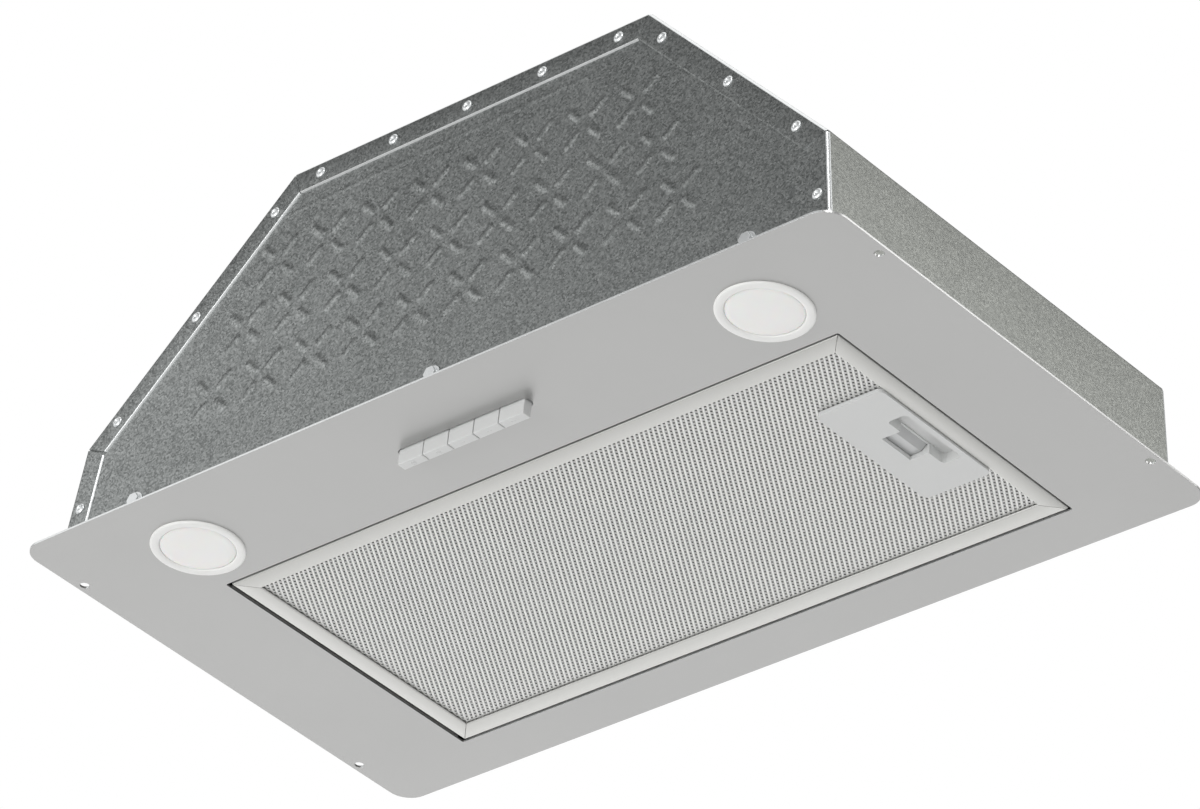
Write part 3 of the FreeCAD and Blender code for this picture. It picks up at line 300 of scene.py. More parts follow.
def settle(piece, slot, body, nodes=(), sharp=None, finish=None):
    """Gives a piece its finish, smooth shading and body, and hides the CAD nodes it stands for."""
    to_scene(piece)
    piece.data.materials.clear()
    piece.data.materials.append(finish_for(finish or slot))
    piece.data.polygons.foreach_set("use_smooth", [True] * len(piece.data.polygons))
    if sharp:
        piece.data.set_sharp_from_angle(angle=math.radians(sharp))
    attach(piece, body)
    if nodes:
        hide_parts(*nodes)
    return piece


def mesh_from(name, parts):
    """A new object from parts, each a list of points in mm and a list of faces."""
    points, faces = [], []
    for part_points, part_faces in parts:
        start = len(points)
        points += [tuple(c * MM for c in point) for point in part_points]
        faces += [[start + i for i in face] for face in part_faces]
    mesh = bpy.data.meshes.new(name)
    mesh.from_pydata(points, [], faces)
    mesh.validate()
    return bpy.data.objects.new(name, mesh)


def outward(piece):
    """Turns every face of a closed mesh outwards."""
    form = bmesh.new()
    form.from_mesh(piece.data)
    bmesh.ops.recalc_face_normals(form, faces=form.faces)
    form.to_mesh(piece.data)
    form.free()
    return piece


def bake_modifiers(piece):
    """Makes the modifiers' result the piece's own mesh."""
    bpy.context.view_layer.update()
    seen = piece.evaluated_get(bpy.context.evaluated_depsgraph_get())
    result = bpy.data.meshes.new_from_object(seen)
    piece.modifiers.clear()
    piece.data = result
    return piece


def bevelled(piece, radius, angle=30.0, segments=2):
    """Rounds the sharp edges of a piece by radius mm."""
    to_scene(piece)
    piece.data.polygons.foreach_set("use_smooth", [True] * len(piece.data.polygons))
    round_over = piece.modifiers.new("round_over", "BEVEL")
    round_over.width = radius * MM
    round_over.segments = segments
    round_over.limit_method = "ANGLE"
    round_over.angle_limit = math.radians(angle)
    round_over.harden_normals = True
    return bake_modifiers(piece)


def carved(piece, part):
    """Cuts a closed part out of a piece."""
    tool = to_scene(outward(mesh_from("cutter", [part])))
    to_scene(piece)
    cut = piece.modifiers.new("cut", "BOOLEAN")
    cut.object = tool
    cut.operation = "DIFFERENCE"
    cut.solver = "EXACT"
    bake_modifiers(piece)
    bpy.data.objects.remove(tool)
    return piece


def part_of(piece):
    """The points and faces of a piece, which is then removed."""
    points = [tuple(point.co / MM) for point in piece.data.vertices]
    faces = [list(face.vertices) for face in piece.data.polygons]
    bpy.data.objects.remove(piece)
    return points, faces


def softened(node, radius, name=None, segments=2, adjust=None):
    """A copy of a CAD node with its edges rounded by radius mm, which stands for the node."""
    form = bmesh.new()
    form.from_mesh(frame["nodes"][node].data)
    bmesh.ops.remove_doubles(form, verts=form.verts, dist=2 * WELD)
    bmesh.ops.dissolve_limit(form, angle_limit=math.radians(0.5), verts=form.verts, edges=form.edges)
    if adjust:
        adjust(form)
    mesh = bpy.data.meshes.new(name or node + "_dressed")
    form.to_mesh(mesh)
    form.free()
    for left_over in ("custom_normal", "sharp_edge", "sharp_face"):
        if left_over in mesh.attributes:
            mesh.attributes.remove(mesh.attributes[left_over])
    piece = bevelled(bpy.data.objects.new(mesh.name, mesh), radius, segments=segments)
    return settle(piece, SLOT_OF[node], BODY_OF[node], (node,))


def soften_all(rows):
    """Rounds each node by its own radius in mm."""
    for node, radius in rows:
        softened(node, radius)


def dressed(node):
    """Keeps a CAD node's own shape and gives it its finish."""
    shown = frame["nodes"][node]
    shown.data.materials.clear()
    shown.data.materials.append(finish_for(SLOT_OF[node]))
    return shown


def turned(profile, steps=32, closed=False):
    """Points and faces of a profile (radius, height) turned round Z; closed joins its ends."""
    rings, points = [], []
    for radius, height in profile:
        if radius < 1e-6:
            rings.append([len(points)] * steps)
            points.append((0.0, 0.0, height))
            continue
        rings.append(list(range(len(points), len(points) + steps)))
        for i in range(steps):
            turn = math.tau * i / steps
            points.append((radius * math.cos(turn), radius * math.sin(turn), height))
    pairs = list(zip(rings, rings[1:])) + ([(rings[-1], rings[0])] if closed else [])
    faces = []
    for low, high in pairs:
        for i in range(steps):
            j = (i + 1) % steps
            corners = [low[i], low[j], high[j], high[i]]
            face = [c for k, c in enumerate(corners) if c != corners[k - 1]]
            if len(set(face)) > 2:
                faces.append(face)
    return points, faces


def placed(part, spot, axis=(0, 0, 1)):
    """A part made round Z, moved so that its Z runs along axis from spot."""
    turn = Vector((0, 0, 1)).rotation_difference(Vector(axis)).to_matrix()
    return [tuple(turn @ Vector(point) + Vector(spot)) for point in part[0]], part[1]


def strip(loops):
    """A part that joins loops of equal length in turn, with an end face on the first and last."""
    count = len(loops[0])
    points = [point for loop in loops for point in loop]
    faces = []
    for k in range(len(loops) - 1):
        for i in range(count):
            j = (i + 1) % count
            faces.append([k * count + i, k * count + j, (k + 1) * count + j, (k + 1) * count + i])
    faces.append(list(range(count)))
    faces.append([(len(loops) - 1) * count + i for i in range(count)])
    return points, faces


def block(xs, ys, zs):
    """A block between two values of each of x, y and z, as a part."""
    (x0, x1), (y0, y1) = xs, ys
    return strip([[(x0, y0, z), (x1, y0, z), (x1, y1, z), (x0, y1, z)] for z in zs])


def rounded_outline(xs, ys, radius, steps):
    """A rectangle's corners (x, y), each as a short arc, anticlockwise."""
    outline = []
    corners = ((xs[1], ys[1], 0), (xs[0], ys[1], 90), (xs[0], ys[0], 180), (xs[1], ys[0], 270))
    for x, y, start in corners:
        turn = math.radians(start + 45)
        middle_x = x - math.copysign(radius, math.cos(turn))
        middle_y = y - math.copysign(radius, math.sin(turn))
        for k in range(steps + 1):
            angle = math.radians(start + 90 * k / steps)
            outline.append((middle_x + radius * math.cos(angle), middle_y + radius * math.sin(angle)))
    return outline


def circle_outline(x, y, radius, steps):
    """A circle's points (x, y)."""
    turns = [math.tau * i / steps for i in range(steps)]
    return [(x + radius * math.cos(turn), y + radius * math.sin(turn)) for turn in turns]


def flat_sheet(name, outlines, low, high):
    """A level sheet whose first outline is its edge and whose other outlines are holes."""
    curve = bpy.data.curves.new(name, "CURVE")
    curve.dimensions = "2D"
    curve.fill_mode = "BOTH"
    curve.extrude = (high - low) / 2 * MM
    for outline in outlines:
        line = curve.splines.new("POLY")
        line.points.add(len(outline) - 1)
        for point, (x, y) in zip(line.points, outline):
            point.co = (x * MM, y * MM, 0, 1)
        line.use_cyclic_u = True
    shape = to_scene(bpy.data.objects.new(name + "_outline", curve))
    bpy.context.view_layer.update()
    mesh = bpy.data.meshes.new_from_object(shape.evaluated_get(bpy.context.evaluated_depsgraph_get()))
    bpy.data.objects.remove(shape)
    bpy.data.curves.remove(curve)
    mesh.name = name
    form = bmesh.new()
    form.from_mesh(mesh)
    bmesh.ops.remove_doubles(form, verts=form.verts, dist=WELD)
    bmesh.ops.recalc_face_normals(form, faces=form.faces)
    bmesh.ops.translate(form, verts=form.verts, vec=(0, 0, (low + high) / 2 * MM))
    form.to_mesh(mesh)
    form.free()
    return bpy.data.objects.new(name, mesh)


# ---- Sizes and colours that a user would change ----
class HoodSizes(bpy.types.PropertyGroup):
    bend_radius: FloatProperty(
        name="Bend radius", description="Outer radius of the body's folds",
        default=2.2 * MM, unit="LENGTH")
    flange_bend: FloatProperty(
        name="Flange bend", description="Outer radius where the flanges turn",
        default=2.0 * MM, unit="LENGTH")
    edge_round: FloatProperty(
        name="Plate edge", description="Rounding of the face plate's edges",
        default=0.3 * MM, unit="LENGTH")
    mark_height: FloatProperty(
        name="Mark height", description="Height of the pressed cross marks",
        default=0.42 * MM, unit="LENGTH")
    mesh_pitch: FloatVectorProperty(
        name="Mesh pitch", description="Spacing of the filter's holes along X and Y", size=2,
        default=(2.88 * MM, 4.65 * MM), unit="LENGTH")
    mesh_open: FloatProperty(
        name="Mesh opening", description="Size of a hole as a share of its cell",
        default=0.46, min=0.3, max=0.8)


class HoodStudio(bpy.types.PropertyGroup):
    lens: FloatProperty(
        name="Lens", description="Focal length of the camera in mm", default=209.898)
    floor_colour: FloatVectorProperty(
        name="Floor", description="Colour of the floor", subtype="COLOR", size=3,
        default=linear("e6e6e6")[:3])
    backdrop: FloatVectorProperty(
        name="Backdrop", description="Colour behind the object", subtype="COLOR", size=3,
        default=(1.0, 1.0, 1.0))
    ambient: FloatProperty(
        name="Ambient", description="Strength of the light from all round", default=0.6)


# ---- Face plate ----
PLATE_X, PLATE_Y, PLATE_CORNER = (-262.5, 262.5), (-142.0, 142.0), 12.0
OPENING_X, OPENING_Y, OPENING_CORNER = (-196.0, 201.0), (-62.5, 113.5), 1.0
KEY_SLOT_LENGTH, KEY_SLOT_WIDTH = 85.0, 7.4
LAMP_HOLE_RADIUS, SCREW_HOLE_RADIUS = 22.0, 2.5
SCREW_HOLE_X, SCREW_HOLE_Y = 257.5, 101.0


def slot_outline(middle_y, length, width, steps=12):
    """The outline of a slot with round ends along X."""
    radius, run = width / 2, (length - width) / 2
    outline = []
    for side, start in ((1, -90), (-1, 90)):
        for k in range(steps + 1):
            angle = math.radians(start + 180 * k / steps)
            x, y = radius * math.cos(angle), radius * math.sin(angle)
            outline.append((side * run + x, middle_y + y))
    return outline


def face_plate():
    """The plate with its opening, lamp holes, key slot and fixing holes, and bright cut edges that are partly
    a painted highlight.
    """
    edge_round = bpy.context.scene.hood_sizes.edge_round / MM
    outlines = [rounded_outline(PLATE_X, PLATE_Y, PLATE_CORNER, 12)]
    outlines.append(rounded_outline(OPENING_X, OPENING_Y, OPENING_CORNER, 4))
    outlines.append(slot_outline(KEY_ROW_Y, KEY_SLOT_LENGTH, KEY_SLOT_WIDTH))
    for side in (-1, 1):
        outlines.append(circle_outline(side * LAMP_X, LAMP_Y, LAMP_HOLE_RADIUS, 64))
        outlines += [circle_outline(side * SCREW_HOLE_X, y, SCREW_HOLE_RADIUS, 24)
                     for y in (-SCREW_HOLE_Y, SCREW_HOLE_Y)]
    plate = bevelled(flat_sheet("face_plate_sheet", outlines, PLATE_BOTTOM, 0.0), edge_round, 50.0)
    settle(plate, "silver_lacquer", "hood", ("face_plate",))
    plate.data.materials.append(finish_for("sheared_edge"))
    # Steep faces not turned to +X get the bright edge finish: bare cut metal and a painted highlight
    for face in plate.data.polygons:
        face.material_index = int(abs(face.normal.z) < 0.5 and face.normal.x < 0.5)
    return plate


class HOOD_OT_face_plate(bpy.types.Operator):
    """Make the face plate and the edges turned up from it"""
    bl_idname = "hood.face_plate"
    bl_label = "Face Plate"

    def execute(self, context):
        face_plate()
        softened("plate_upturns", 0.2)
        return {"FINISHED"}


# ---- Body sheets ----
FOLD_STEPS = 6
COLLAR_SPOT, COLLAR_HOLE_RADIUS, COLLAR_HOLE_Z = (0.0, 19.0), 57.0, (177.0, 184.0)
NOTCH_GAP, WIDE_NOTCH, NARROW_NOTCH = 0.15, 0.9, 0.1
WRAPPER_FOOT = ((249.3, 0.5), (248.9, 0.1), (248.5, 0.0), (240.3, 0.0), (240.0, 0.3), (240.0, 0.7),
                (240.3, 1.0), (248.8, 1.0))
WRAPPER_FOOT_Y, PANEL_FOOT_X = (-124.0, 124.0), (-237.0, 237.0)
PANEL_FOOT = ((-125.2, 0.35), (-124.9, 0.1), (-124.5, 0.0), (-118.2, 0.0), (-118.0, 0.2),
              (-118.0, 0.8), (-118.2, 1.0), (-124.8, 1.0))
MARK_ROWS = ((61.0, 10), (95.5, 9), (130.0, 8))  # height and number of crosses
MARK_PITCH, MARK_MIDDLE = 34.0, -3.0
RIB_START, RIB_END, RIB_HALF_WIDTH = 6.4, 14.4, 2.5
CREASE_X, CREASE_Z, CREASE_SLOPE, CREASE_WIDTH, CREASE_HEIGHT = (-128, 80), 158.0, 0.012, 0.9, 0.12
PANEL_COLUMNS, LOW_ROWS, HIGH_ROWS = 561, 66, 134


def runs():
    """Each straight run of the body: start, direction, outward normal, length, turns at its ends."""
    listed = []
    for (x0, z0), (x1, z1) in zip(OUTLINE, OUTLINE[1:]):
        length = math.hypot(x1 - x0, z1 - z0)
        way = ((x1 - x0) / length, (z1 - z0) / length)
        listed.append({"start": (x0, z0), "way": way, "out": (-way[1], way[0]), "length": length})
    for before, after in zip(listed, listed[1:]):
        dot = before["way"][0] * after["way"][0] + before["way"][1] * after["way"][1]
        before["turn_end"] = after["turn_start"] = math.acos(dot)
    return listed


def on_run(run, along, depth):
    """The point (x, z) at a distance along a run and a depth in from its outer face."""
    (x, z), (dx, dz), (nx, nz) = run["start"], run["way"], run["out"]
    return (x + dx * along - nx * depth, z + dz * along - nz * depth)


def band_path(bend, depth):
    """The path (x, z) of the band's outer face, or of a face depth mm inside it, with round bends."""
    listed = runs()
    path = [on_run(listed[0], depth * listed[0]["out"][1] / listed[0]["way"][1], depth)]
    for run, following in zip(listed, listed[1:]):
        turn = run["turn_end"]
        tangent = bend * math.tan(turn / 2)
        centre = on_run(run, run["length"] - tangent, bend)
        reach = bend - depth
        for k in range(FOLD_STEPS + 1):
            angle = math.atan2(run["out"][1], run["out"][0]) - turn * (k / FOLD_STEPS)
            path.append((centre[0] + reach * math.cos(angle), centre[1] + reach * math.sin(angle)))
    last = listed[-1]
    path.append(on_run(last, last["length"] + depth * last["out"][1] / last["way"][1], depth))
    return path


def cut_at(run, depth, bend, at_end):
    """How far along a run its flange is cut at a depth: on the floor line, or at a V notch at a fold."""
    base = run["length"] if at_end else 0.0
    turn = run.get("turn_end" if at_end else "turn_start")
    if turn is None:
        return base + depth * run["out"][1] / run["way"][1]
    widening = WIDE_NOTCH if turn < math.radians(40) else NARROW_NOTCH
    slope = math.tan(turn / 2)
    back = max(bend * slope, depth * slope + NOTCH_GAP + widening * depth / FLANGE)
    return base - back if at_end else base + back


def flange_profile(fold, side):
    """The closed section (y, depth) of a flange: quarter bend and flat, outer face then inner face."""

    def quarter(radius, steps):
        turns = np.linspace(0, math.pi / 2, steps)
        return [(HALF_DEPTH - fold + radius * math.sin(a), fold - radius * math.cos(a)) for a in turns]

    outer = quarter(fold, 6) + [(HALF_DEPTH, FLANGE - 0.7), (HALF_DEPTH - 0.25, FLANGE - 0.4)]
    inner = quarter(fold - SHEET, 4) + [(HALF_DEPTH - SHEET, FLANGE)]
    return [(side * y, depth) for y, depth in outer + inner[::-1]]


def wrapper():
    """The long sheet round the body, with round folds, ten notched flanges and its two feet."""
    sizes = bpy.context.scene.hood_sizes
    bend, fold = sizes.bend_radius / MM, sizes.flange_bend / MM
    edge = HALF_DEPTH - fold
    outer, inner = band_path(bend, 0.0), band_path(bend, SHEET)
    section = outer + inner[::-1]
    band = outward(mesh_from("band", [strip([
        [(x, y, z) for x, z in section] for y in (-edge, edge)])]))
    hole = strip([[(x, y, z) for x, y in circle_outline(*COLLAR_SPOT, COLLAR_HOLE_RADIUS, 64)]
                  for z in COLLAR_HOLE_Z])
    parts = [part_of(carved(band, hole))]
    for run in runs():
        for side in (-1, 1):
            profile = flange_profile(fold, side)
            ends = []
            for at_end in (False, True):
                loop = []
                for y, depth in profile:
                    x, z = on_run(run, cut_at(run, depth, bend, at_end), depth)
                    loop.append((x, y, z))
                ends.append(loop)
            parts.append(strip(ends))
    for side in (-1, 1):
        parts.append(strip([[(side * x, y, z) for x, z in WRAPPER_FOOT] for y in WRAPPER_FOOT_Y]))
    sheet = outward(mesh_from("body_wrapper", parts))
    settle(sheet, "galvanised_sheet", "hood", ("wrapper_shell",), 25.0, "rolled_zinc")
    sheet.data.materials.append(finish_for("galvanised_sheet"))
    sheet.data.materials.append(finish_for("sheared_edge"))
    # Flange flats and faces turned to -X keep the spangled sheet; the other folds and cut edges get the bright
    # edge finish, a painted highlight as well as bare cut metal
    for face in sheet.data.polygons:
        if abs(face.center.y) > (edge + 0.3) * MM:
            face.material_index = 1 if abs(face.normal.y) > 0.97 or face.normal.x < -0.3 else 2
    return sheet


def mark_spots():
    """Centres (x, z) of the pressed crosses, in three staggered rows."""
    spots = []
    for height, count in MARK_ROWS:
        spots += [(MARK_MIDDLE + (i - (count - 1) / 2) * MARK_PITCH, height) for i in range(count)]
    return spots


def pressed_relief(x, z, height):
    """How far the front panel stands out at each (x, z): four ribs to a cross, and a faint crease."""
    relief = np.zeros_like(x)
    for cx, cz in mark_spots():
        near = (np.abs(x - cx) < 20) & (np.abs(z - cz) < 20)
        px, pz = x[near] - cx, z[near] - cz
        best = np.zeros_like(px)
        for turn in (45, 135, 225, 315):
            dx, dz = math.cos(math.radians(turn)), math.sin(math.radians(turn))
            along = np.clip(px * dx + pz * dz, RIB_START, RIB_END)
            away = np.hypot(px - along * dx, pz - along * dz) / RIB_HALF_WIDTH
            dome = np.cos(np.clip(away, 0, 1) * math.pi / 2) ** 1.2
            best = np.maximum(best, np.where(away < 1, dome, 0))
        relief[near] = np.maximum(relief[near], best * height)
    crease = np.exp(-((z - CREASE_Z - CREASE_SLOPE * x) / CREASE_WIDTH) ** 2)
    return relief + CREASE_HEIGHT * crease * ((x > CREASE_X[0]) & (x < CREASE_X[1]))


def panel_edge(z):
    """Half the width of an end panel at height z."""
    inner = band_corners(SHEET)
    return np.interp(z, [p[1] for p in inner], [-p[0] for p in inner])


def band_corners(depth):
    """Sharp corners (x, z) of the left half of the outline, depth mm inside."""
    listed = runs()
    corners = [on_run(listed[0], depth * listed[0]["out"][1] / listed[0]["way"][1], depth)]
    for run in listed[:2]:
        corners.append(on_run(run, run["length"] - depth * math.tan(run["turn_end"] / 2), depth))
    return corners


def front_panel():
    """The pressed panel: a fine grid in front, a plain back, and an inward foot."""
    sizes = bpy.context.scene.hood_sizes
    corners = band_corners(SHEET)
    shoulder, top = corners[1][1], corners[2][1]
    heights = np.concatenate([
        np.linspace(0, shoulder, LOW_ROWS), np.linspace(shoulder, top, HIGH_ROWS)[1:]])
    share = np.linspace(-1, 1, PANEL_COLUMNS)
    half = panel_edge(heights)
    x = half[:, None] * share[None, :]
    z = np.repeat(heights[:, None], PANEL_COLUMNS, 1)
    y = -(HALF_DEPTH - SHEET) - pressed_relief(x, z, sizes.mark_height / MM)
    points = list(zip(x.ravel().tolist(), y.ravel().tolist(), z.ravel().tolist()))
    index = np.arange(x.size).reshape(x.shape)
    quads = np.stack([index[:-1, :-1], index[:-1, 1:], index[1:, 1:], index[1:, :-1]], -1)
    faces = quads.reshape(-1, 4).tolist()
    rim = np.concatenate([index[0, :], index[1:, -1], index[-1, -2::-1], index[-2:0:-1, 0]]).tolist()
    start = len(points)
    points += [(points[i][0], -(HALF_DEPTH - 2 * SHEET), points[i][2]) for i in rim]
    count = len(rim)
    for i in range(count):
        j = (i + 1) % count
        faces.append([rim[j], rim[i], start + i, start + j])
    faces.append([start + i for i in range(count)])
    foot = strip([[(fx, fy, fz) for fy, fz in PANEL_FOOT] for fx in PANEL_FOOT_X])
    panel = outward(mesh_from("front_panel_sheet", [(points, faces), foot]))
    return settle(panel, "galvanised_sheet", "hood", ("front_panel",), 40.0)


class HOOD_OT_body_sheets(bpy.types.Operator):
    """Make the wrapper sheet, the pressed front panel and the rear panel"""
    bl_idname = "hood.body_sheets"
    bl_label = "Body Sheets"

    def execute(self, context):
        wrapper()
        front_panel()
        softened("rear_panel", 0.2)
        return {"FINISHED"}


# ---- Rivets and screws ----
RIVET_PROFILE = ((0.0, 0.55), (0.8, 0.55), (1.0, 0.7), (1.2, 1.0), (1.5, 1.08), (2.1, 0.98), (2.6, 0.72),
                 (2.95, 0.36), (3.0, 0.12), (2.9, 0.0), (1.6, 0.0), (1.6, -2.0), (2.2, -2.1), (2.3, -2.8),
                 (1.9, -3.5), (0.0, -3.6))
RIVET_SHARES = ((0.42,), (0.11, 0.5, 0.89), (0.07, 0.285, 0.5, 0.715, 0.93),
                (0.11, 0.5, 0.89), (0.58,))


def rivet_spots():
    """Centres (x, z) of the rivets, at their shares of each run along the middle of the flanges."""
    half = band_corners(FLANGE / 2)
    middle = half + [(-x, z) for x, z in reversed(half)]
    spots = []
    for (x0, z0), (x1, z1), shares in zip(middle, middle[1:], RIVET_SHARES):
        spots += [(x0 + (x1 - x0) * s, z0 + (z1 - z0) * s) for s in shares]
    return spots


class HOOD_OT_fasteners(bpy.types.Operator):
    """Make the domed pop rivets and the washer-head screws of the body"""
    bl_idname = "hood.fasteners"
    bl_label = "Rivets and Screws"

    def execute(self, context):
        for side, node in ((-1, "front_rivets"), (1, "rear_rivets")):
            rivet = turned(RIVET_PROFILE, 24)
            parts = [placed(rivet, (x, side * HALF_DEPTH, z), (0, side, 0)) for x, z in rivet_spots()]
            settle(outward(mesh_from(node + "_domed", parts)), "zinc_hardware", "hood", (node,), 50.0)
        softened("foot_screws", 0.3)
        return {"FINISHED"}


# ---- Lamps ----
BEZEL_PROFILE = ((24.0, -1.2), (24.0, -1.8), (23.75, -2.25), (23.2, -2.5), (22.2, -2.6), (21.0, -2.55),
                 (20.2, -2.45), (19.7, -2.3), (19.4, -2.05), (19.3, -1.8), (19.3, -1.1), (20.3, -1.1),
                 (20.3, 9.0), (21.8, 9.0), (21.8, -1.2))
LENS_PROFILE = ((0.0, -2.4), (6.0, -2.39), (12.0, -2.34), (16.0, -2.24), (18.0, -2.1), (18.7, -1.9),
                (19.0, -1.6), (19.1, -1.1), (20.1, -1.1), (20.1, 0.3), (0.0, 0.3))


class HOOD_OT_lamps(bpy.types.Operator):
    """Make the two lamp bezels and lenses, and dress the boards, heat sinks and clips behind them"""
    bl_idname = "hood.lamps"
    bl_label = "Lamps"

    def execute(self, context):
        spots = [(side * LAMP_X, LAMP_Y, 0.0) for side in (-1, 1)]
        rings = [placed(turned(BEZEL_PROFILE, 72, True), spot) for spot in spots]
        bezels = outward(mesh_from("lamp_bezels", rings))
        settle(bezels, "lamp_ring_plastic", "hood", ("lamp_rings",), 40.0)
        lenses = [placed(turned(LENS_PROFILE, 72), spot) for spot in spots]
        diffusers = outward(mesh_from("lamp_diffusers", lenses))
        settle(diffusers, "lamp_lens_plastic", "hood", ("lamp_lenses",), 50.0)
        soften_all((("lamp_boards", 0.1), ("lamp_heat_sinks", 0.3), ("lamp_spring_clips", 0.12)))
        return {"FINISHED"}


# ---- Push buttons ----
MARK_ROOM, DOT_SPACING = 0.18, 1.7
DOT_PROFILE = ((0.0, -0.2), (0.35, -0.2), (0.5, -0.1), (0.55, 0.1), (0.0, 0.1))
RING_PROFILE = ((1.5, 0.1), (1.45, -0.1), (1.3, -0.2), (1.1, -0.2), (0.95, -0.1), (0.9, 0.1))


def raise_underside(form):
    """Makes room below a key for its raised marks."""
    for point in form.verts:
        if point.co.z < -5 * MM:
            point.co.z += MARK_ROOM * MM


def key_marks(index, x):
    """Raised marks under a key: ring and dot for light, ring for stop, one to three dots for speeds."""
    ring, dot = turned(RING_PROFILE, 24, True), turned(DOT_PROFILE, 12)
    dots = index - 1
    marks = {0: [(ring, 0.0), (dot, 0.0)], 1: [(ring, 0.0)]}.get(index) or [
        (dot, (i - (dots - 1) / 2) * DOT_SPACING) for i in range(dots)]
    return [placed(mark, (x + step, KEY_ROW_Y, KEY_UNDERSIDE)) for mark, step in marks]


def spring_copy(node, body):
    """A copy of a CAD spring with a mesh of its own, in plated spring steel on the given body."""
    mesh = frame["nodes"][node].data.copy()
    mesh.name = node + "_coil"
    coil = settle(bpy.data.objects.new(mesh.name, mesh), "spring_steel", body, (node,))
    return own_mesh(coil)


class HOOD_OT_push_buttons(bpy.types.Operator):
    """Make the five keys with their raised marks, their springs, and the switch housing"""
    bl_idname = "hood.push_buttons"
    bl_label = "Push Buttons"

    def execute(self, context):
        for index, name in enumerate(BUTTONS):
            softened(name, 0.3, name + "_key_cap", 3, raise_underside)
            x = (index - 2) * KEY_PITCH
            marks = outward(mesh_from(name + "_mark", key_marks(index, x)))
            settle(marks, "button_plastic", BODY_OF[name], (), 50.0)
            spring_copy(name + "_spring", "hood")
        soften_all((("switch_housing", 0.4), ("switch_board", 0.15)))
        return {"FINISHED"}


# ---- Filter cartridge ----
FILTER_X, FILTER_Y = (-193.5, 199.5), (-61.0, 112.0)
MITRE_GAP, MESH_MARGIN, HOLE_SLIMMING = 0.18, 2.5, 0.8
FRONT_MESH_Z, STRAND_LEAN = (0.0, 1.0), 0.25
BACK_MESH_Z, BACK_PITCH, BACK_OPEN = (6.6, 7.0), (4.6, 9.0), 0.72
TONGUE_Y, TONGUE_Z = (19.8, 32.6), (4.4, 6.5)  # hole in the rail for the latch's tongue
HANDLE_START_X, HANDLE_Y = 147.0, (1.5, 52.5)  # the meshes stop short of the handle
RAIL_PROFILE = ((0.9, -1.2), (9.7, -1.2), (10.2, -1.05), (10.5, -0.6), (10.35, -0.15), (9.9, 0.0), (1.7, 0.0),
                (1.3, 0.1), (1.2, 0.5), (1.2, 6.6), (1.3, 7.0), (1.7, 7.1), (7.7, 7.1), (8.0, 7.3), (8.0, 8.1),
                (7.8, 8.3), (0.9, 8.3), (0.35, 8.15), (0.08, 7.8), (0.0, 7.3), (0.0, -0.3), (0.08, -0.7),
                (0.35, -1.05))


def rails():
    """Four rails of folded channel, cut to a mitre with a fine gap at each corner."""
    (x0, x1), (y0, y1) = FILTER_X, FILTER_Y
    parts = []
    for y, inward in ((y0, 1), (y1, -1)):
        parts.append(strip([[(x0 + d + MITRE_GAP, y + inward * d, z) for d, z in RAIL_PROFILE],
                            [(x1 - d - MITRE_GAP, y + inward * d, z) for d, z in RAIL_PROFILE]]))
    for x, inward in ((x0, 1), (x1, -1)):
        parts.append(strip([[(x + inward * d, y0 + d + MITRE_GAP, z) for d, z in RAIL_PROFILE],
                            [(x + inward * d, y1 - d - MITRE_GAP, z) for d, z in RAIL_PROFILE]]))
    rail_frame = outward(mesh_from("filter_rails", parts))
    carved(rail_frame, block((x1 - 2.0, x1 + 1.0), TONGUE_Y, TONGUE_Z))
    return settle(rail_frame, "filter_aluminium", "filter_cartridge", ("filter_frame",), 30.0)


def lattice(name, node, pitch, open_share, heights, lean):
    """Expanded sheet: staggered diamond holes between strands that lean by lean mm each way."""
    (x0, x1), (y0, y1) = FILTER_X, FILTER_Y
    half_x, step_y = pitch[0] / 2, pitch[1] / 2
    reach_x, reach_y = half_x * open_share * HOLE_SLIMMING, step_y * open_share
    columns = int((x1 - x0 - 2 * MESH_MARGIN) / half_x)
    rows = int((y1 - y0 - 2 * MESH_MARGIN) / step_y)
    left = (x0 + x1) / 2 - columns * half_x / 2
    first = (y0 + y1) / 2 - rows * step_y / 2
    middle = sum(heights) / 2
    points, faces, shared = [], [], {}

    def corner(i, j):
        if (i, j) not in shared:
            shared[(i, j)] = len(points)
            points.append((left + i * half_x, first + j * step_y, middle))
        return shared[(i, j)]

    for j in range(1, rows):
        for i in range(1 + (j % 2), columns, 2):
            x, y = left + i * half_x, first + j * step_y
            if x > HANDLE_START_X and HANDLE_Y[0] < y < HANDLE_Y[1]:
                continue
            outer = [corner(i - 1, j), corner(i, j - 1), corner(i + 1, j), corner(i, j + 1)]
            start = len(points)
            points += [(x - reach_x, y, middle - lean), (x, y - reach_y, middle - lean),
                       (x + reach_x, y, middle + lean), (x, y + reach_y, middle + lean)]
            for k in range(4):
                m = (k + 1) % 4
                faces.append([outer[k], outer[m], start + m, start + k])
    sheet = to_scene(mesh_from(name, [(points, faces)]))
    thick = sheet.modifiers.new("gauge", "SOLIDIFY")
    thick.thickness = (heights[1] - heights[0] - 2 * lean) * MM
    thick.offset = 0.0
    bake_modifiers(sheet)
    return settle(sheet, SLOT_OF[node], "filter_cartridge", (node,), None, "expanded_aluminium")


class HOOD_OT_filter_cartridge(bpy.types.Operator):
    """Make the filter's rails, its expanded mesh, the foils behind it and the tabs at its end"""
    bl_idname = "hood.filter_cartridge"
    bl_label = "Filter Cartridge"

    def execute(self, context):
        sizes = context.scene.hood_sizes
        rails()
        pitch = [value / MM for value in sizes.mesh_pitch]
        lattice("expanded_front_mesh", "filter_front_mesh", pitch, sizes.mesh_open, FRONT_MESH_Z, STRAND_LEAN)
        lattice("expanded_back_mesh", "filter_back_mesh", BACK_PITCH, BACK_OPEN, BACK_MESH_Z, 0.0)
        dressed("filter_foil_layers")
        softened("filter_end_tabs", 0.25)
        return {"FINISHED"}


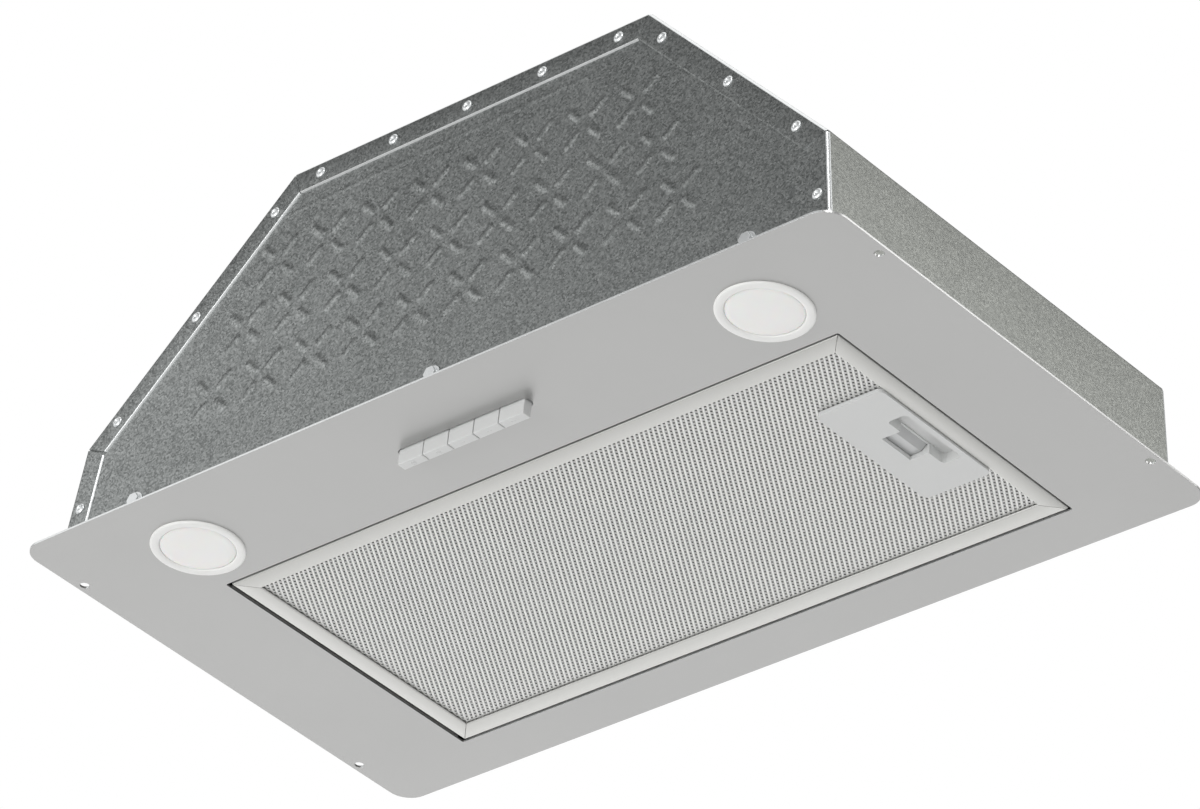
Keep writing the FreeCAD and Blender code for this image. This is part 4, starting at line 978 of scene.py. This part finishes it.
class HOOD_OT_filter_handle(bpy.types.Operator):
    """Make the handle plate with its finger pocket, the latch slide and the latch spring"""
    bl_idname = "hood.filter_handle"
    bl_label = "Handle and Latch"

    def execute(self, context):
        softened("filter_handle", 0.28)
        softened("latch_slide", 0.2)
        spring_copy("latch_spring", "filter_cartridge")
        return {"FINISHED"}


# ---- Air outlet, blower and electrical pieces ----
class HOOD_OT_air_outlet(bpy.types.Operator):
    """Make the duct collar, its flange, the two damper flaps, their pin and the screws"""
    bl_idname = "hood.air_outlet"
    bl_label = "Air Outlet"

    def execute(self, context):
        soften_all((("duct_collar", 0.35), ("collar_flange", 0.35), ("front_damper", 0.2),
                    ("rear_damper", 0.2), ("outlet_screws", 0.4), ("damper_pin", 0.2)))
        return {"FINISHED"}


class HOOD_OT_blower(bpy.types.Operator):
    """Dress the blower housing, the drum and the motor"""
    bl_idname = "hood.blower"
    bl_label = "Blower"

    def execute(self, context):
        soften_all((("scroll_left_half", 0.4), ("scroll_right_half", 0.4), ("motor_front_cover", 0.5),
                    ("motor_rear_cover", 0.5), ("motor_bracket", 0.3), ("bracket_screws", 0.4),
                    ("bracket_bushes", 0.3), ("impeller_rings", 0.3), ("impeller_disc", 0.3),
                    ("motor_shaft", 0.3), ("motor_windings", 0.4), ("motor_stator", 0.1)))
        for node in ("impeller_blades", "motor_rotor", "motor_bearings"):
            dressed(node)
        return {"FINISHED"}


class HOOD_OT_electrics(bpy.types.Operator):
    """Dress the terminal box, the cable gland, the lamp driver and the capacitor"""
    bl_idname = "hood.electrics"
    bl_label = "Electrical Pieces"

    def execute(self, context):
        soften_all((("terminal_box", 0.4), ("terminal_lid", 0.3), ("terminal_block", 0.2),
                    ("cable_gland", 0.4), ("lamp_driver", 0.6), ("motor_capacitor", 0.3)))
        return {"FINISHED"}


# ---- Studio, in metres ----
CAMERA_SPOT = (2.02035, -2.01893, -1.84508)
CAMERA_VIEW, CAMERA_UP = (-0.58937, 0.5855, 0.55663), (0.30909, -0.47317, 0.82497)
FLOOR_HALF, FLOOR_CORNER, FLOOR_HEIGHTS = 7000.0, 800.0, (-4040.0, -4000.0)  # mm
SOFT_BOXES = (  # name, spot, target, size in m, power in W
    ("right_soft_box", (3.2, 1.9, 1.8), (0, 0, 0.05), 2.6, 60.0),
    ("front_soft_box", (-0.3, -2.8, -0.9), (0, 0, 0), 1.8, 34.0),
    ("left_soft_box", (-1.0, -0.85, 0.5), (-0.15, -0.13, 0.03), 0.7, 1.15),
    ("brow_soft_box", (-0.9, -2.8, 0.75), (0, -0.1, 0.1), 1.2, 3.2),
    ("corner_soft_box", (2.2, -2.2, 2.1), (0.2, -0.1, 0.05), 0.9, 40.0),
    ("under_soft_box", (-1.9, 1.6, -1.3), (0, 0, 0), 2.6, 14.5),
)


def soft_light(name, spot, target, size, power):
    """A square soft box at spot that faces target."""
    lamp = bpy.data.lights.new(name, "AREA")
    lamp.shape = "SQUARE"
    lamp.size = size
    lamp.energy = power
    holder = bpy.data.objects.new(name, lamp)
    holder.location = spot
    holder.visible_camera = False
    holder.rotation_euler = (Vector(target) - Vector(spot)).to_track_quat("-Z", "Y").to_euler()
    return to_scene(holder)


def studio_world(backdrop, ambient):
    """Light that fades upwards and returns straight above, with a clean backdrop behind the object."""
    world = bpy.data.worlds.new("studio_world")
    world.use_nodes = True
    tree = world.node_tree
    tree.nodes.clear()
    rays = add(tree, "LightPath")
    seen = add(tree, "Background", {"Color": (*backdrop, 1.0), "Strength": 1.0})
    way = add(tree, "SeparateXYZ", {"Vector": add(tree, "TexCoord").outputs["Generated"]})
    fall = add(tree, "MapRange", {
        "Value": way.outputs["Z"], "From Min": -0.1, "From Max": 0.75, "To Min": 1.5 * ambient,
        "To Max": 0.15 * ambient})
    crown = add(tree, "MapRange", {
        "Value": way.outputs["Z"], "From Min": 0.78, "From Max": 0.92, "To Min": 0.0,
        "To Max": 1.9 * ambient})
    total = add(tree, "Math", {0: fall.outputs["Result"], 1: crown.outputs["Result"]},
                operation="ADD")
    lit = add(tree, "Background", {
        "Color": (1.0, 1.0, 1.0, 1.0), "Strength": total.outputs["Value"]})
    mixed = add(tree, "MixShader", {
        0: rays.outputs["Is Camera Ray"], 1: lit.outputs["Background"], 2: seen.outputs["Background"]})
    add(tree, "OutputWorld", {"Surface": mixed.outputs["Shader"]})
    bpy.context.scene.world = world


class HOOD_OT_studio(bpy.types.Operator):
    """Set up the floor, the lights, the backdrop and the camera"""
    bl_idname = "hood.studio"
    bl_label = "Studio"

    def execute(self, context):
        studio = context.scene.hood_studio
        reach = (-FLOOR_HALF, FLOOR_HALF)
        edge = rounded_outline(reach, reach, FLOOR_CORNER, 6)
        floor = to_scene(mesh_from("studio_floor", [strip([[(x, y, z) for x, y in edge]
                                                           for z in FLOOR_HEIGHTS])]))
        material, _, shader = finish_base("studio_floor_paint", "e6e6e6", 0.0, 0.8)
        shader.inputs["Base Color"].default_value = (*studio.floor_colour, 1.0)
        floor.data.materials.append(material)
        studio_world(studio.backdrop, studio.ambient)
        for row in SOFT_BOXES:
            soft_light(*row)
        lens = bpy.data.cameras.new("photo_camera")
        lens.lens = studio.lens
        lens.sensor_width = 36.0
        lens.sensor_fit = "HORIZONTAL"
        lens.clip_end = 100.0
        camera = bpy.data.objects.new("photo_camera", lens)
        view = Vector(CAMERA_VIEW).normalized()
        right = view.cross(Vector(CAMERA_UP)).normalized()
        turn = Matrix((right, right.cross(view), -view)).transposed().to_4x4()
        camera.matrix_world = Matrix.Translation(CAMERA_SPOT) @ turn
        context.scene.camera = to_scene(camera)
        context.scene.view_settings.view_transform = "Standard"
        return {"FINISHED"}


OPERATORS = (HOOD_OT_face_plate, HOOD_OT_body_sheets, HOOD_OT_fasteners, HOOD_OT_lamps,
             HOOD_OT_push_buttons, HOOD_OT_filter_cartridge, HOOD_OT_filter_handle, HOOD_OT_air_outlet,
             HOOD_OT_blower, HOOD_OT_electrics, HOOD_OT_studio)


class HOOD_PT_pieces(bpy.types.Panel):
    """Lists the hood's sizes and the steps that make its pieces"""
    bl_idname = "HOOD_PT_pieces"
    bl_label = "Range Hood Insert"
    bl_space_type = "VIEW_3D"
    bl_region_type = "UI"
    bl_category = "Hood"

    def draw(self, context):
        for group in (context.scene.hood_sizes, context.scene.hood_studio):
            for name in group.__annotations__:
                self.layout.prop(group, name)
        for operator in OPERATORS:
            self.layout.operator(operator.bl_idname)


CLASSES = (HoodSizes, HoodStudio, *OPERATORS, HOOD_PT_pieces)


def register():
    for item in CLASSES:
        bpy.utils.register_class(item)
    bpy.types.Scene.hood_sizes = PointerProperty(type=HoodSizes)
    bpy.types.Scene.hood_studio = PointerProperty(type=HoodStudio)


def unregister():
    del bpy.types.Scene.hood_studio
    del bpy.types.Scene.hood_sizes
    for item in reversed(CLASSES):
        bpy.utils.unregister_class(item)


def main():
    """Makes every piece and the stage."""
    register()
    bpy.ops.hood.studio()
    bpy.ops.hood.face_plate()
    bpy.ops.hood.body_sheets()
    bpy.ops.hood.fasteners()
    bpy.ops.hood.lamps()
    bpy.ops.hood.push_buttons()
    bpy.ops.hood.filter_cartridge()
    bpy.ops.hood.filter_handle()
    bpy.ops.hood.air_outlet()
    bpy.ops.hood.blower()
    bpy.ops.hood.electrics()


if __name__ == "__main__":
    main()
